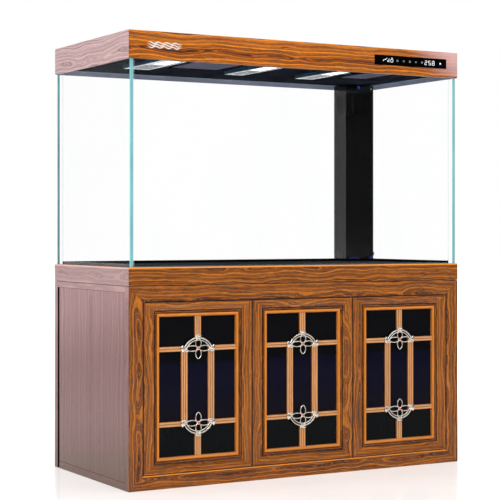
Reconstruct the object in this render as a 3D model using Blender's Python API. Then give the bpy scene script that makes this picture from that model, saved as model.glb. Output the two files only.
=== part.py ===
"""Aquarium on a wooden stand: three-door cabinet, glass tank, overflow column, sump filter and lamp canopy.

Metres, +Z up. The origin is at the middle of the footprint, on the floor, and the front faces -Y.
Run with: blender --background --python part.py
"""

import math

import bmesh
import bpy
from mathutils import Matrix, Vector

# Overall sizes
LENGTH = 1.500
DEPTH = 0.700
CABINET_HEIGHT = 0.820
GLASS_SHOWN = 0.765  # height of glass between the cabinet and the canopy
CANOPY_HEIGHT = 0.105

# Clearances
FIT = 0.0003  # between pieces that touch
RUNNING = 0.0003  # round a pin, plunger or pipe that passes through a hole
DOOR_GAP = 0.0025
TANK_CLEARANCE = 0.001  # round the tank, inside the band and the canopy's lip

# Cabinet
BAND_HEIGHT = 0.069
STILE_WIDTH = 0.058
TOP_RAIL = 0.058
BOTTOM_RAIL = 0.053
FACE_THICK = 0.030
SIDE_THICK = 0.018
BACK_THICK = 0.030
FLOOR_LIFT = 0.032
FLOOR_THICK = 0.018
VENT_WIDTH = 0.017  # upright slot between each side panel and the back
VENT_RAIL = 0.023  # rail that closes the slot's top
SKIRT_LINE = 0.030  # height of the scribed line on each side panel
LINE_WIDTH = 0.002
MULLION_WIDTH = 0.036
MULLION_DEPTH = 0.060

# Doors
DOOR_COUNT = 3
DOOR_THICK = 0.022
DOOR_SIDE = 0.067
DOOR_TOP = 0.054
DOOR_BOTTOM = 0.058
PANE_THICK = 0.004
RABBET = 0.008  # how far the pane and the lattice's rim reach under the frame
LATTICE_SETBACK = 0.0065
RIM_THICK = 0.002
RIM_SHOWN = 0.0015
PANE_SEAT = 0.0145  # depth of the pane's front face in the door
UPRIGHT_BAR = 0.027
CROSS_BAR = 0.019
BAR_SPREAD = 0.113  # between the middles of the two upright bars
BAR_OVERLAP = 0.002  # how far a cross bar reaches under an ornament's collar
BAR_END = 0.006  # from an ornament's middle to the end of an upright bar
ORNAMENT_DROP = 0.122  # from the pane's edge to the middle of an ornament
PIVOT_INSET = 0.005
PIVOT_RADIUS = 0.002
PIVOT_LENGTH = 0.024
PIVOT_SIDES = 12

# Door moulding, from the pane outwards: (outward from the pane's edge, depth from the front)
BEAD_MIDDLE = (0.0060, 0.0065)
BEAD_RADIUS = 0.0050
BEAD_STEPS = 6
MOULDING_INNER = [(0.0, 0.0115), (0.0, 0.0075)]
MOULDING_OUTER = [
    (0.0112, 0.0072),
    (0.0150, 0.0032),
    (0.0190, 0.0025),
    (0.0195, 0.0060),
    (0.0230, 0.0060),
    (0.0240, 0.0030),
    (0.0300, 0.0022),
    (0.0320, 0.0),
]

# Ornaments
ARCH_RADIUS = 0.067
ARCH_BAND = 0.013
ARCH_HEIGHT = 0.042
PETAL_WIRE = 0.004
LONG_PETAL = 0.054
LONG_PETAL_WIDTH = 0.020
SHORT_PETAL = 0.040
SHORT_PETAL_WIDTH = 0.023
BOSS_RADIUS = 0.008
COLLAR_LENGTH = 0.018
COLLAR_WIDTH = 0.022
ORNAMENT_THICK = 0.0055
PETAL_STEPS = 6
ARCH_STEPS = 12

# Push latches
LATCH_SIZE = (0.024, 0.058, 0.079)
LATCH_FROM_EDGE = 0.035
LATCH_REACH = 0.011  # plunger below the top rail's lower edge
PLUNGER_RADIUS = 0.005
PLUNGER_GRIP = 0.018  # length of the plunger inside the latch
PLUNGER_TRAVEL = 0.004

# Tank
TANK_INSET = 0.008
GLASS = 0.019
MAT_THICK = 0.005
TRIM_HEIGHT = 0.011
TRIM_THICK = 0.006

# Overflow column
COLUMN_WIDTH = 0.146
COLUMN_DEPTH = 0.096
COLUMN_WALL = 0.005
COLUMN_DROP = 0.003  # below the tank's upper edge
WEIR_SLOT = 0.0035
WEIR_PITCH = 0.014
WEIR_TOP_GAP = 0.045
WEIR_HEIGHT = 0.080
DRAIN_RADIUS = 0.016
DRAIN_WALL = 0.003
DRAIN_FROM_RIGHT = 0.0377
DRAIN_TOP_GAP = 0.150
RETURN_RADIUS = 0.010
RETURN_FROM_LEFT = 0.058
RETURN_TOP_GAP = 0.016
NOZZLE_REACH = 0.012
RETURN_BEND = 0.035
PIPE_SIDES = 16

# Sump filter
SUMP_GLASS = 0.008
ROOM_OVER_SUMP = 0.3404  # for lifting the trays out, under the deck
SUMP_FRONT_ROOM = 0.070
SUMP_REAR_ROOM = 0.010
SUMP_RIGHT_ROOM = 0.012
SUMP_LEFT_ROOM = 0.032
FILTER_CHAMBER = 0.500
PUMP_CHAMBER = 0.204
FILTER_BAFFLE_DROP = 0.060
PUMP_BAFFLE_DROP = 0.100
TRAY_LENGTH = 0.230
TRAY_DEPTH = 0.110
TRAY_WALL = 0.004
TRAY_ROOM = 0.004
TRAY_FLANGE = 0.006
TRAY_LIFT = 0.100
TRAY_SLOTS = 4
TRAY_SLOT_WIDTH = 0.0035
DRAIN_OVER_TRAY = 0.014
RUN_OVER_TRAY = 0.086
PUMP_SIZE = (0.110, 0.080, 0.090)
PUMP_SHIFT = 0.040
IMPELLER_RADIUS = 0.020
IMPELLER_DEPTH = 0.016
IMPELLER_BLADES = 3  # each one crosses the hub
IMPELLER_BLADE = 0.003
IMPELLER_HUB = 0.006
IMPELLER_ROOM = 0.002
HEATER_RADIUS = 0.014
HEATER_LENGTH = 0.260
HEATER_LIFT = 0.012
HEATER_CAP = 0.040

# Canopy
LIP_HEIGHT = 0.018
CANOPY_WALL = 0.018
CANOPY_TOP = 0.015
CEILING_THICK = 0.006
LAMP_WIDTH = 0.140
LAMP_LENGTH = 0.330
LAMP_THICK = 0.015
LAMP_FROM_FRONT = 0.040
LEFT_LAMP = 0.225  # from the left end to the lamp's middle
MIDDLE_LAMP = -0.080  # from the middle of the canopy
RIGHT_LAMP = 0.322  # from the overflow column to the lamp's middle
FEED_ROOM = 0.015  # between a feeding opening and the lamps beside it
FEED_FRONT = 0.110
FEED_DEPTH = 0.300
LID_WIDTH = 0.360
LID_DEPTH = 0.340
LID_THICK = 0.010
LID_FRONT = 0.090
LID_GAP = 0.0025
LID_LEDGE = 0.008
LID_CLEARANCE = 0.001  # round the rear corner of a lid as it turns
LID_PIN = 0.006
NOTCH_WIDTH = 0.080
NOTCH_DEPTH = 0.014
PANEL_WIDTH = 0.357
PANEL_HEIGHT = 0.040
PANEL_THICK = 0.003
PANEL_FROM_RIGHT = 0.058
PANEL_DROP = 0.029

# Places worked out from the sizes
LEFT = -LENGTH / 2
RIGHT = LENGTH / 2
FRONT = -DEPTH / 2
REAR = DEPTH / 2
BAND_LOW = CABINET_HEIGHT - BAND_HEIGHT
UNDER_DECK = BAND_LOW - FIT
DOOR_LOW = BOTTOM_RAIL + DOOR_GAP
DOOR_HIGH = BAND_LOW - TOP_RAIL - DOOR_GAP
DOORS_SPAN = LENGTH - 2 * STILE_WIDTH - DOOR_GAP * (DOOR_COUNT + 1)
DOOR_WIDTH = DOORS_SPAN / DOOR_COUNT
DOOR_PITCH = DOOR_WIDTH + DOOR_GAP
INSIDE_FRONT = FRONT + FACE_THICK + FIT
INSIDE_REAR = REAR - BACK_THICK - FIT
INSIDE_RIGHT = RIGHT - SIDE_THICK
FLOOR_TOP = FLOOR_LIFT + FLOOR_THICK
TANK_HALF_X = RIGHT - TANK_INSET
TANK_HALF_Y = REAR - TANK_INSET
TANK_IN_X = TANK_HALF_X - GLASS
TANK_IN_Y = TANK_HALF_Y - GLASS
PANE_LOW = CABINET_HEIGHT - GLASS
DECK_TOP = PANE_LOW - MAT_THICK - 2 * FIT
CANOPY_LOW = CABINET_HEIGHT + GLASS_SHOWN
CANOPY_HIGH = CANOPY_LOW + CANOPY_HEIGHT
TANK_TOP = CANOPY_LOW + LIP_HEIGHT
CEILING_LOW = TANK_TOP + 2 * FIT
COLUMN_RIGHT = TANK_IN_X - FIT
COLUMN_LEFT = COLUMN_RIGHT - COLUMN_WIDTH
COLUMN_REAR = TANK_IN_Y - FIT
COLUMN_FRONT = COLUMN_REAR - COLUMN_DEPTH
COLUMN_TOP = TANK_TOP - COLUMN_DROP
PIPES_Y = (COLUMN_FRONT + COLUMN_REAR) / 2
DRAIN_X = COLUMN_RIGHT - DRAIN_FROM_RIGHT
RETURN_X = COLUMN_LEFT + RETURN_FROM_LEFT
SUMP_LOW = FLOOR_TOP + FIT
SUMP_TOP = UNDER_DECK - ROOM_OVER_SUMP
MULLION_X = DOOR_PITCH * (DOOR_COUNT - 2) / 2
SUMP_LEFT = -MULLION_X - MULLION_WIDTH / 2 - SUMP_LEFT_ROOM
SUMP_RIGHT = INSIDE_RIGHT - SUMP_RIGHT_ROOM
SUMP_FRONT = INSIDE_FRONT + MULLION_DEPTH + SUMP_FRONT_ROOM
SUMP_REAR = INSIDE_REAR - SUMP_REAR_ROOM
PUMP_X = SUMP_LEFT + SUMP_GLASS + PUMP_CHAMBER / 2
PUMP_Y = (SUMP_FRONT + SUMP_REAR) / 2 + PUMP_SHIFT
PUMP_LOW = SUMP_LOW + SUMP_GLASS + FIT
PUMP_TOP = PUMP_LOW + PUMP_SIZE[2]
LID_SWING = math.hypot(PIVOT_INSET, LID_THICK - PIVOT_INSET) + LID_CLEARANCE
LAMP_PLACES = {
    "left": LEFT + LEFT_LAMP,
    "middle": MIDDLE_LAMP,
    "right": COLUMN_LEFT - RIGHT_LAMP,
}
FEED_SPANS = {
    "left": (
        LAMP_PLACES["left"] + LAMP_WIDTH / 2 + FEED_ROOM,
        LAMP_PLACES["middle"] - LAMP_WIDTH / 2 - FEED_ROOM,
    ),
    "right": (
        LAMP_PLACES["right"] + LAMP_WIDTH / 2 + FEED_ROOM,
        COLUMN_LEFT - FEED_ROOM,
    ),
}

# Finishes: colour, roughness, metallic
FINISHES = {
    "wood": ((0.42, 0.17, 0.06), 0.30, 0.0),
    "lattice_wood": ((0.60, 0.30, 0.13), 0.35, 0.0),
    "board": ((0.30, 0.20, 0.13), 0.60, 0.0),
    "clear_glass": ((0.80, 0.95, 0.93), 0.02, 0.0),
    "dark_glass": ((0.01, 0.01, 0.03), 0.05, 0.0),
    "black_plastic": ((0.015, 0.015, 0.017), 0.25, 0.0),
    "grey_plastic": ((0.25, 0.26, 0.28), 0.45, 0.0),
    "white_plastic": ((0.85, 0.86, 0.88), 0.40, 0.0),
    "foam": ((0.05, 0.05, 0.05), 0.90, 0.0),
    "antique_metal": ((0.72, 0.64, 0.52), 0.35, 1.0),
    "steel": ((0.60, 0.60, 0.62), 0.30, 1.0),
}


def clear_scene():
    """Removes whatever the file holds at the start."""
    for obj in list(bpy.data.objects):
        bpy.data.objects.remove(obj)


def finish_material(name, finish):
    """A Principled material for one piece."""
    colour, roughness, metallic = FINISHES[finish]
    material = bpy.data.materials.new(f"{name}_{finish}")
    material.use_nodes = True
    shader = material.node_tree.nodes["Principled BSDF"]
    shader.inputs["Base Color"].default_value = (*colour, 1.0)
    shader.inputs["Roughness"].default_value = roughness
    shader.inputs["Metallic"].default_value = metallic
    return material


def place(name, mesh, finish, pivot=None):
    """Puts a mesh in the scene as one piece. A pivot is the empty on the axis that the piece moves about."""
    obj = bpy.data.objects.new(name, mesh)
    bpy.context.scene.collection.objects.link(obj)
    if finish is None:
        obj.hide_render = True
        obj.display_type = "WIRE"
    else:
        obj.data.materials.append(finish_material(name, finish))
    if pivot is not None:
        obj.parent = pivot
        obj.location = -pivot.location
    return obj


def pivot_at(name, position):
    """An empty on a joint's axis, which moving pieces are parented to."""
    empty = bpy.data.objects.new(name, None)
    empty.location = Vector(position)
    empty.empty_display_size = 0.03
    bpy.context.scene.collection.objects.link(empty)
    return empty


def mesh_from(name, form):
    """Turns a bmesh into a mesh with its faces pointing out."""
    bmesh.ops.recalc_face_normals(form, faces=form.faces)
    mesh = bpy.data.meshes.new(name)
    form.to_mesh(mesh)
    form.free()
    return mesh


def block(name, low, high, finish=None, pivot=None):
    """A box between two corners."""
    form = bmesh.new()
    bmesh.ops.create_cube(form, size=1.0)
    low = Vector(low)
    high = Vector(high)
    size = high - low
    middle = (high + low) / 2
    for vertex in form.verts:
        vertex.co = Vector(vertex.co[i] * size[i] + middle[i] for i in range(3))
    return place(name, mesh_from(name, form), finish, pivot)


def turned(name, start, axis, profile, finish=None, pivot=None, sides=PIPE_SIDES):
    """A solid of revolution: (along, radius) points from one end to the other, round an axis through start.

    A profile that starts and ends on the same point is a tube. Any other is closed on the axis at both ends.
    """
    form = bmesh.new()
    rings = []
    for along, radius in profile:
        ring = []
        for step in range(sides):
            angle = 2 * math.pi * step / sides
            ring.append(form.verts.new((radius * math.cos(angle), radius * math.sin(angle), along)))
        rings.append(ring)
    is_tube = profile[0] == profile[-1]
    if is_tube:
        for vertex in rings.pop():
            form.verts.remove(vertex)
        rings.append(rings[0])
    for first, second in zip(rings, rings[1:]):
        for step in range(sides):
            follow = (step + 1) % sides
            form.faces.new((first[step], first[follow], second[follow], second[step]))
    if not is_tube:
        form.faces.new(rings[0])
        form.faces.new(rings[-1])
    turn = Vector((0, 0, 1)).rotation_difference(Vector(axis)).to_matrix().to_4x4()
    form.transform(Matrix.Translation(Vector(start)) @ turn)
    return place(name, mesh_from(name, form), finish, pivot)


def rod(name, start, axis, length, radius, finish=None, pivot=None, sides=PIPE_SIDES):
    """A plain cylinder."""
    return turned(name, start, axis, [(0, radius), (length, radius)], finish, pivot, sides)


def extruded_mesh(name, outline, low, high):
    """A prism from an outline of (x, z) points, between two y values."""
    form = bmesh.new()
    face = form.faces.new([form.verts.new((x, low, z)) for x, z in outline])
    made = bmesh.ops.extrude_face_region(form, geom=[face])
    moved = [item for item in made["geom"] if isinstance(item, bmesh.types.BMVert)]
    bmesh.ops.translate(form, verts=moved, vec=(0, high - low, 0))
    bmesh.ops.triangulate(form, faces=[item for item in form.faces if len(item.verts) > 4])
    return mesh_from(name, form)


def upright(name, outline, low, high, finish=None):
    """A prism from an outline of (x, y) points, between two heights."""
    mesh = extruded_mesh(name, [(x, -y) for x, y in outline], low, high)
    mesh.transform(Matrix.Rotation(math.pi / 2, 4, "X"))
    return place(name, mesh, finish)


def rectangle_ring(name, outer, inner, profile, finish, pivot=None, lying=False):
    """A mitred frame: one profile carried round a rectangle.

    Rectangles are (x low, x high, z low, z high). A profile point is (outward, depth): outward from the
    inner rectangle, or None on the outer rectangle. A lying ring has its rectangles in X and Y and its depth
    along Z, and any other has them in X and Z and its depth along Y.
    """
    form = bmesh.new()
    loops = []
    for outward, depth in profile:
        if outward is None:
            x_low, x_high, side_low, side_high = outer
        else:
            x_low, x_high, side_low, side_high = (
                inner[0] - outward,
                inner[1] + outward,
                inner[2] - outward,
                inner[3] + outward,
            )
        corners = ((x_low, side_low), (x_high, side_low), (x_high, side_high), (x_low, side_high))
        if lying:
            loops.append([form.verts.new((x, side, depth)) for x, side in corners])
        else:
            loops.append([form.verts.new((x, depth, side)) for x, side in corners])
    for first, second in zip(loops, loops[1:] + loops[:1]):
        for corner in range(4):
            follow = (corner + 1) % 4
            form.faces.new((first[corner], first[follow], second[follow], second[corner]))
    return place(name, mesh_from(name, form), finish, pivot)


def combine(target, operation, tools):
    """Adds one exact Boolean for each tool."""
    for number, tool in enumerate(tools):
        change = target.modifiers.new(f"{operation.lower()}_{number}", "BOOLEAN")
        change.operation = operation
        change.solver = "EXACT"
        change.object = tool


def cut(target, *tools):
    combine(target, "DIFFERENCE", tools)


def weld(target, *tools):
    combine(target, "UNION", tools)


# ---------------------------------------------------------------- cabinet


def door_span(index):
    """The left and right edges of a door."""
    left = LEFT + STILE_WIDTH + DOOR_GAP + index * DOOR_PITCH
    return left, left + DOOR_WIDTH


def door_pivot(index):
    """The place on the floor plan that a door turns about. The left door hangs on its left edge."""
    left, right = door_span(index)
    x = left + PIVOT_INSET if index == 0 else right - PIVOT_INSET
    return x, FRONT + PIVOT_INSET


def face_frame():
    outer = (LEFT, RIGHT, 0, UNDER_DECK)
    inner = (LEFT + STILE_WIDTH, RIGHT - STILE_WIDTH, BOTTOM_RAIL, BAND_LOW - TOP_RAIL)
    profile = [(None, FRONT), (0, FRONT), (0, FRONT + FACE_THICK), (None, FRONT + FACE_THICK)]
    frame = rectangle_ring("face_frame", outer, inner, profile, "wood")
    for index in range(DOOR_COUNT):
        x, y = door_pivot(index)
        reach = PIVOT_LENGTH / 2 + 2 * FIT
        for end, z in (("low", DOOR_LOW - DOOR_GAP), ("high", DOOR_HIGH + DOOR_GAP - reach)):
            start = (x, y, z - reach if end == "low" else z)
            hole = rod(
                f"cutter_frame_{end}_{index}", start, (0, 0, 1), 2 * reach, PIVOT_RADIUS + RUNNING, sides=PIVOT_SIDES
            )
            cut(frame, hole)


def cabinet_carcass():
    block(
        "cabinet_floor",
        (LEFT + SIDE_THICK + FIT, INSIDE_FRONT, FLOOR_LIFT),
        (INSIDE_RIGHT - FIT, INSIDE_REAR, FLOOR_TOP),
        "board",
    )
    block("back_panel", (LEFT, REAR - BACK_THICK, 0), (RIGHT, REAR, UNDER_DECK), "wood")
    for side, outside, inward in (("left", LEFT, 1), ("right", RIGHT, -1)):
        inside = outside + inward * SIDE_THICK
        x_low, x_high = sorted((outside, inside))
        panel = block(f"side_panel_{side}", (x_low, INSIDE_FRONT, 0), (x_high, INSIDE_REAR, UNDER_DECK), "wood")
        slot = block(
            f"cutter_vent_{side}",
            (x_low - SIDE_THICK, INSIDE_REAR - VENT_WIDTH, -SIDE_THICK),
            (x_high + SIDE_THICK, INSIDE_REAR + SIDE_THICK, UNDER_DECK - VENT_RAIL),
        )
        line_x = sorted((outside - inward * LINE_WIDTH, outside + inward * LINE_WIDTH))
        line = block(
            f"cutter_line_{side}",
            (line_x[0], INSIDE_FRONT - SIDE_THICK, SKIRT_LINE - LINE_WIDTH),
            (line_x[1], INSIDE_REAR, SKIRT_LINE),
        )
        cut(panel, slot, line)
    for side, x in (("left", -MULLION_X), ("right", MULLION_X)):
        block(
            f"mullion_{side}",
            (x - MULLION_WIDTH / 2, INSIDE_FRONT, FLOOR_TOP + FIT),
            (x + MULLION_WIDTH / 2, INSIDE_FRONT + MULLION_DEPTH, UNDER_DECK),
            "wood",
        )


def cabinet_top():
    lip = TANK_INSET - TANK_CLEARANCE
    rounding = lip / 2
    outer = (LEFT, RIGHT, FRONT, REAR)
    inner = (LEFT + lip, RIGHT - lip, FRONT + lip, REAR - lip)
    profile = [
        (None, BAND_LOW),
        (None, CABINET_HEIGHT - rounding),
        (lip - rounding * 0.3, CABINET_HEIGHT - rounding * 0.3),
        (lip - rounding, CABINET_HEIGHT),
        (0, CABINET_HEIGHT),
        (0, BAND_LOW),
    ]
    rectangle_ring("top_band", outer, inner, profile, "wood", lying=True)
    deck = block(
        "deck",
        (inner[0] + FIT, inner[2] + FIT, BAND_LOW),
        (inner[1] - FIT, inner[3] - FIT, DECK_TOP),
        "board",
    )
    pipe_holes(deck, "deck", BAND_LOW, DECK_TOP)


def pipe_holes(target, label, low, high):
    """Holes for the drain and the return pipe through a level piece."""
    for pipe, x, radius in (("drain", DRAIN_X, DRAIN_RADIUS), ("return", RETURN_X, RETURN_RADIUS)):
        tall = high - low
        hole = rod(f"cutter_{label}_{pipe}", (x, PIPES_Y, low - tall), (0, 0, 1), 3 * tall, radius + RUNNING)
        cut(target, hole)


# ---------------------------------------------------------------- doors

def door_profile():
    """The door frame's closed profile: rabbet, bead, ogee, quirk and step, flat, and back."""
    points = [(outward, FRONT + depth) for outward, depth in MOULDING_INNER]
    for step in range(BEAD_STEPS + 1):
        angle = math.pi * step / BEAD_STEPS
        outward = BEAD_MIDDLE[0] - BEAD_RADIUS * math.cos(angle)
        points.append((outward, FRONT + BEAD_MIDDLE[1] - BEAD_RADIUS * math.sin(angle)))
    points += [(outward, FRONT + depth) for outward, depth in MOULDING_OUTER]
    seat = FRONT + MOULDING_INNER[0][1]
    back = FRONT + DOOR_THICK
    points += [(None, FRONT), (None, back), (RABBET + FIT, back), (RABBET + FIT, seat)]
    return points


def pane_edges(left, right):
    """The part of a door's pane that shows, as (x low, x high, z low, z high)."""
    return left + DOOR_SIDE, right - DOOR_SIDE, DOOR_LOW + DOOR_BOTTOM, DOOR_HIGH - DOOR_TOP


def lattice(name, pane, pivot):
    """The wooden bars in front of the pane, in one piece with the rim that holds them."""
    seat = FRONT + PANE_SEAT - FIT
    rim_front = seat - RIM_THICK
    bar_front = FRONT + LATTICE_SETBACK
    outer = (pane[0] - RABBET, pane[1] + RABBET, pane[2] - RABBET, pane[3] + RABBET)
    inner = (pane[0] + RIM_SHOWN, pane[1] - RIM_SHOWN, pane[2] + RIM_SHOWN, pane[3] - RIM_SHOWN)
    profile = [(0, rim_front), (None, rim_front), (None, seat), (0, seat)]
    rim = rectangle_ring(name, outer, inner, profile, "lattice_wood", pivot)
    middle = (pane[0] + pane[1]) / 2
    high = pane[3] - ORNAMENT_DROP
    low = pane[2] + ORNAMENT_DROP
    back = seat - RIM_THICK / 4
    reach = half_chord() - BAR_OVERLAP
    bars = []
    for z, edge, upward in ((high, pane[3] - FIT, 1), (low, pane[2] + FIT, -1)):
        z_low, z_high = sorted((z + upward * ARCH_HEIGHT, edge))
        bars.append((middle - UPRIGHT_BAR / 2, middle + UPRIGHT_BAR / 2, z_low, z_high))
        bars.append((pane[0] + FIT, middle - reach, z - CROSS_BAR / 2, z + CROSS_BAR / 2))
        bars.append((middle + reach, pane[1] - FIT, z - CROSS_BAR / 2, z + CROSS_BAR / 2))
    for side in (-1, 1):
        x = middle + side * BAR_SPREAD / 2
        bars.append((x - UPRIGHT_BAR / 2, x + UPRIGHT_BAR / 2, low + BAR_END, high - BAR_END))
    for number, (x_low, x_high, z_low, z_high) in enumerate(bars):
        # Each bar is set a little deeper than the last, so that no two faces lie in one plane.
        setback = bar_front + number * FIT / 4
        bar = block(f"cutter_{name}_{number}", (x_low, setback, z_low), (x_high, back, z_high))
        weld(rim, bar)


def half_chord():
    """Half the width of an ornament's arch where it meets the side collars."""
    return math.sqrt(ARCH_RADIUS ** 2 - (ARCH_RADIUS - ARCH_HEIGHT) ** 2)


def petal(length, width, inset, angle):
    """A pointed leaf outline from the middle of an ornament outwards, made of two arcs."""
    half = length / 2 - inset
    rise = width / 2 - inset
    radius = (half * half + rise * rise) / (2 * rise)
    spread = math.asin(half / radius)
    points = []
    for side in (1, -1):
        for step in range(PETAL_STEPS):
            turn = side * (spread - 2 * spread * step / PETAL_STEPS)
            along = length / 2 - radius * math.sin(turn)
            across = side * (radius * math.cos(turn) - (radius - rise))
            points.append((along, across))
    cosine = math.cos(angle)
    sine = math.sin(angle)
    return [(along * cosine - across * sine, along * sine + across * cosine) for along, across in points]


def arch_outline():
    """The rounded band over an ornament, from one side collar to the other."""
    centre = ARCH_HEIGHT - ARCH_RADIUS
    outline = []
    for radius, order in ((ARCH_RADIUS, 1), (ARCH_RADIUS - ARCH_BAND, -1)):
        half = math.acos(-centre / radius)
        for step in range(ARCH_STEPS + 1):
            angle = math.pi / 2 + order * (half - 2 * half * step / ARCH_STEPS)
            outline.append((radius * math.cos(angle), centre + radius * math.sin(angle)))
    return outline


def ornament_mesh():
    """The cast ornament: arch, four open petals, boss and three collars, in one solid at the origin."""
    thin = ORNAMENT_THICK * 0.6
    arch = place("cutter_arch", extruded_mesh("arch", arch_outline(), -thin, 0), None)
    tools = []
    holes = []
    petals = ((0, LONG_PETAL, LONG_PETAL_WIDTH), (1, SHORT_PETAL, SHORT_PETAL_WIDTH))
    for turn in range(4):
        axis, length, width = petals[turn % 2]
        angle = turn * math.pi / 2
        leaf = extruded_mesh(f"leaf_{turn}", petal(length, width, 0, angle), -ORNAMENT_THICK * 0.8, -FIT)
        tools.append(place(f"cutter_leaf_{turn}", leaf, None))
        hole = extruded_mesh(f"leaf_hole_{turn}", petal(length, width, PETAL_WIRE, angle), -2 * ORNAMENT_THICK, 0.01)
        holes.append(place(f"cutter_leaf_hole_{turn}", hole, None))
    collars = (
        (-half_chord(), 0, COLLAR_LENGTH, COLLAR_WIDTH),
        (half_chord(), 0, COLLAR_LENGTH, COLLAR_WIDTH),
        (0, ARCH_HEIGHT, COLLAR_WIDTH, COLLAR_LENGTH),
    )
    for number, (x, z, wide, tall) in enumerate(collars):
        low = (x - wide / 2, -ORNAMENT_THICK, z - tall / 2)
        high = (x + wide / 2, -FIT / 2, z + tall / 2)
        tools.append(block(f"cutter_collar_{number}", low, high))
    boss = rod("cutter_boss", (0, -FIT / 3, 0), (0, -1, 0), ORNAMENT_THICK * 0.9, BOSS_RADIUS, sides=PIVOT_SIDES)
    weld(arch, *tools)
    cut(arch, *holes)
    weld(arch, boss)
    graph = bpy.context.evaluated_depsgraph_get()
    mesh = bpy.data.meshes.new_from_object(arch.evaluated_get(graph))
    mesh.materials.clear()
    for obj in [arch, boss, *tools, *holes]:
        bpy.data.objects.remove(obj)
    return mesh


def door(index, label, ornament):
    left, right = door_span(index)
    x, y = door_pivot(index)
    pivot = pivot_at(f"door_{label}_axis", (x, y, DOOR_LOW))
    pane = pane_edges(left, right)
    frame = rectangle_ring(
        f"door_{label}_frame", (left, right, DOOR_LOW, DOOR_HIGH), pane, door_profile(), "wood", pivot
    )
    hole_radius = PIVOT_RADIUS + RUNNING
    depth = PIVOT_LENGTH / 2
    for end, start in (("low", DOOR_LOW - depth), ("high", DOOR_HIGH - depth)):
        hole = rod(f"cutter_door_{label}_{end}", (x, y, start), (0, 0, 1), 2 * depth, hole_radius, sides=PIVOT_SIDES)
        cut(frame, hole)
    block(
        f"door_{label}_pane",
        (pane[0] - RABBET, FRONT + PANE_SEAT, pane[2] - RABBET),
        (pane[1] + RABBET, FRONT + PANE_SEAT + PANE_THICK, pane[3] + RABBET),
        "dark_glass",
        pivot,
    )
    lattice(f"door_{label}_lattice", pane, pivot)
    middle = (pane[0] + pane[1]) / 2
    back = FRONT + LATTICE_SETBACK - FIT
    for end, z, turn in (("upper", pane[3] - ORNAMENT_DROP, 0), ("lower", pane[2] + ORNAMENT_DROP, math.pi)):
        mesh = ornament.copy()
        mesh.transform(Matrix.Translation((middle, back, z)) @ Matrix.Rotation(turn, 4, "Y"))
        place(f"door_{label}_ornament_{end}", mesh, "antique_metal", pivot)


def hinge_pins(index, label):
    """The two pins that a door turns on, held in the face frame."""
    x, y = door_pivot(index)
    half = PIVOT_LENGTH / 2 - FIT
    for end, middle in (("bottom", DOOR_LOW - DOOR_GAP / 2), ("top", DOOR_HIGH + DOOR_GAP / 2)):
        washer = 3 * PIVOT_RADIUS / 2
        profile = [
            (-half, PIVOT_RADIUS),
            (-DOOR_GAP / 4, PIVOT_RADIUS),
            (-DOOR_GAP / 4, washer),
            (DOOR_GAP / 4, washer),
            (DOOR_GAP / 4, PIVOT_RADIUS),
            (half, PIVOT_RADIUS),
        ]
        turned(f"hinge_pin_{label}_{end}", (x, y, middle), (0, 0, 1), profile, "steel", sides=PIVOT_SIDES)


def push_latch(index, label):
    """A latch under the deck with a sprung plunger behind the door's free edge."""
    left, right = door_span(index)
    x = right - LATCH_FROM_EDGE if index == 0 else left + LATCH_FROM_EDGE
    wide, long, tall = LATCH_SIZE
    body = block(
        f"latch_{label}_body",
        (x - wide / 2, INSIDE_FRONT, UNDER_DECK - tall),
        (x + wide / 2, INSIDE_FRONT + long, UNDER_DECK),
        "black_plastic",
    )
    z = BAND_LOW - TOP_RAIL - LATCH_REACH
    tip = FRONT + DOOR_THICK + FIT
    grip = INSIDE_FRONT + PLUNGER_GRIP
    bore_depth = PLUNGER_GRIP + PLUNGER_TRAVEL + 4 * FIT
    bore = rod(
        f"cutter_latch_{label}",
        (x, INSIDE_FRONT + bore_depth, z),
        (0, -1, 0),
        2 * bore_depth,
        PLUNGER_RADIUS + RUNNING,
        sides=PIVOT_SIDES,
    )
    cut(body, bore)
    pivot = pivot_at(f"latch_{label}_axis", (x, tip, z))
    rod(
        f"latch_{label}_plunger",
        (x, grip, z),
        (0, -1, 0),
        grip - tip,
        PLUNGER_RADIUS,
        "white_plastic",
        pivot,
        PIVOT_SIDES,
    )


# ---------------------------------------------------------------- tank


def tank():
    mat_low = DECK_TOP + FIT
    foot_low = (-TANK_HALF_X, -TANK_HALF_Y)
    foot_high = (TANK_HALF_X, TANK_HALF_Y)
    mat = block("tank_mat", (*foot_low, mat_low), (*foot_high, mat_low + MAT_THICK), "foam")
    pipe_holes(mat, "mat", mat_low, mat_low + MAT_THICK)
    bottom = block("glass_bottom", (*foot_low, PANE_LOW), (*foot_high, CABINET_HEIGHT), "clear_glass")
    pipe_holes(bottom, "glass", PANE_LOW, CABINET_HEIGHT)
    low = CABINET_HEIGHT + FIT
    for side, x_low in (("left", -TANK_HALF_X), ("right", TANK_HALF_X - GLASS)):
        block(f"glass_{side}", (x_low, -TANK_HALF_Y, low), (x_low + GLASS, TANK_HALF_Y, TANK_TOP), "clear_glass")
    across = TANK_IN_X - FIT
    for side, y_low in (("front", -TANK_HALF_Y), ("back", TANK_HALF_Y - GLASS)):
        block(f"glass_{side}", (-across, y_low, low), (across, y_low + GLASS, TANK_TOP), "clear_glass")


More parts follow.
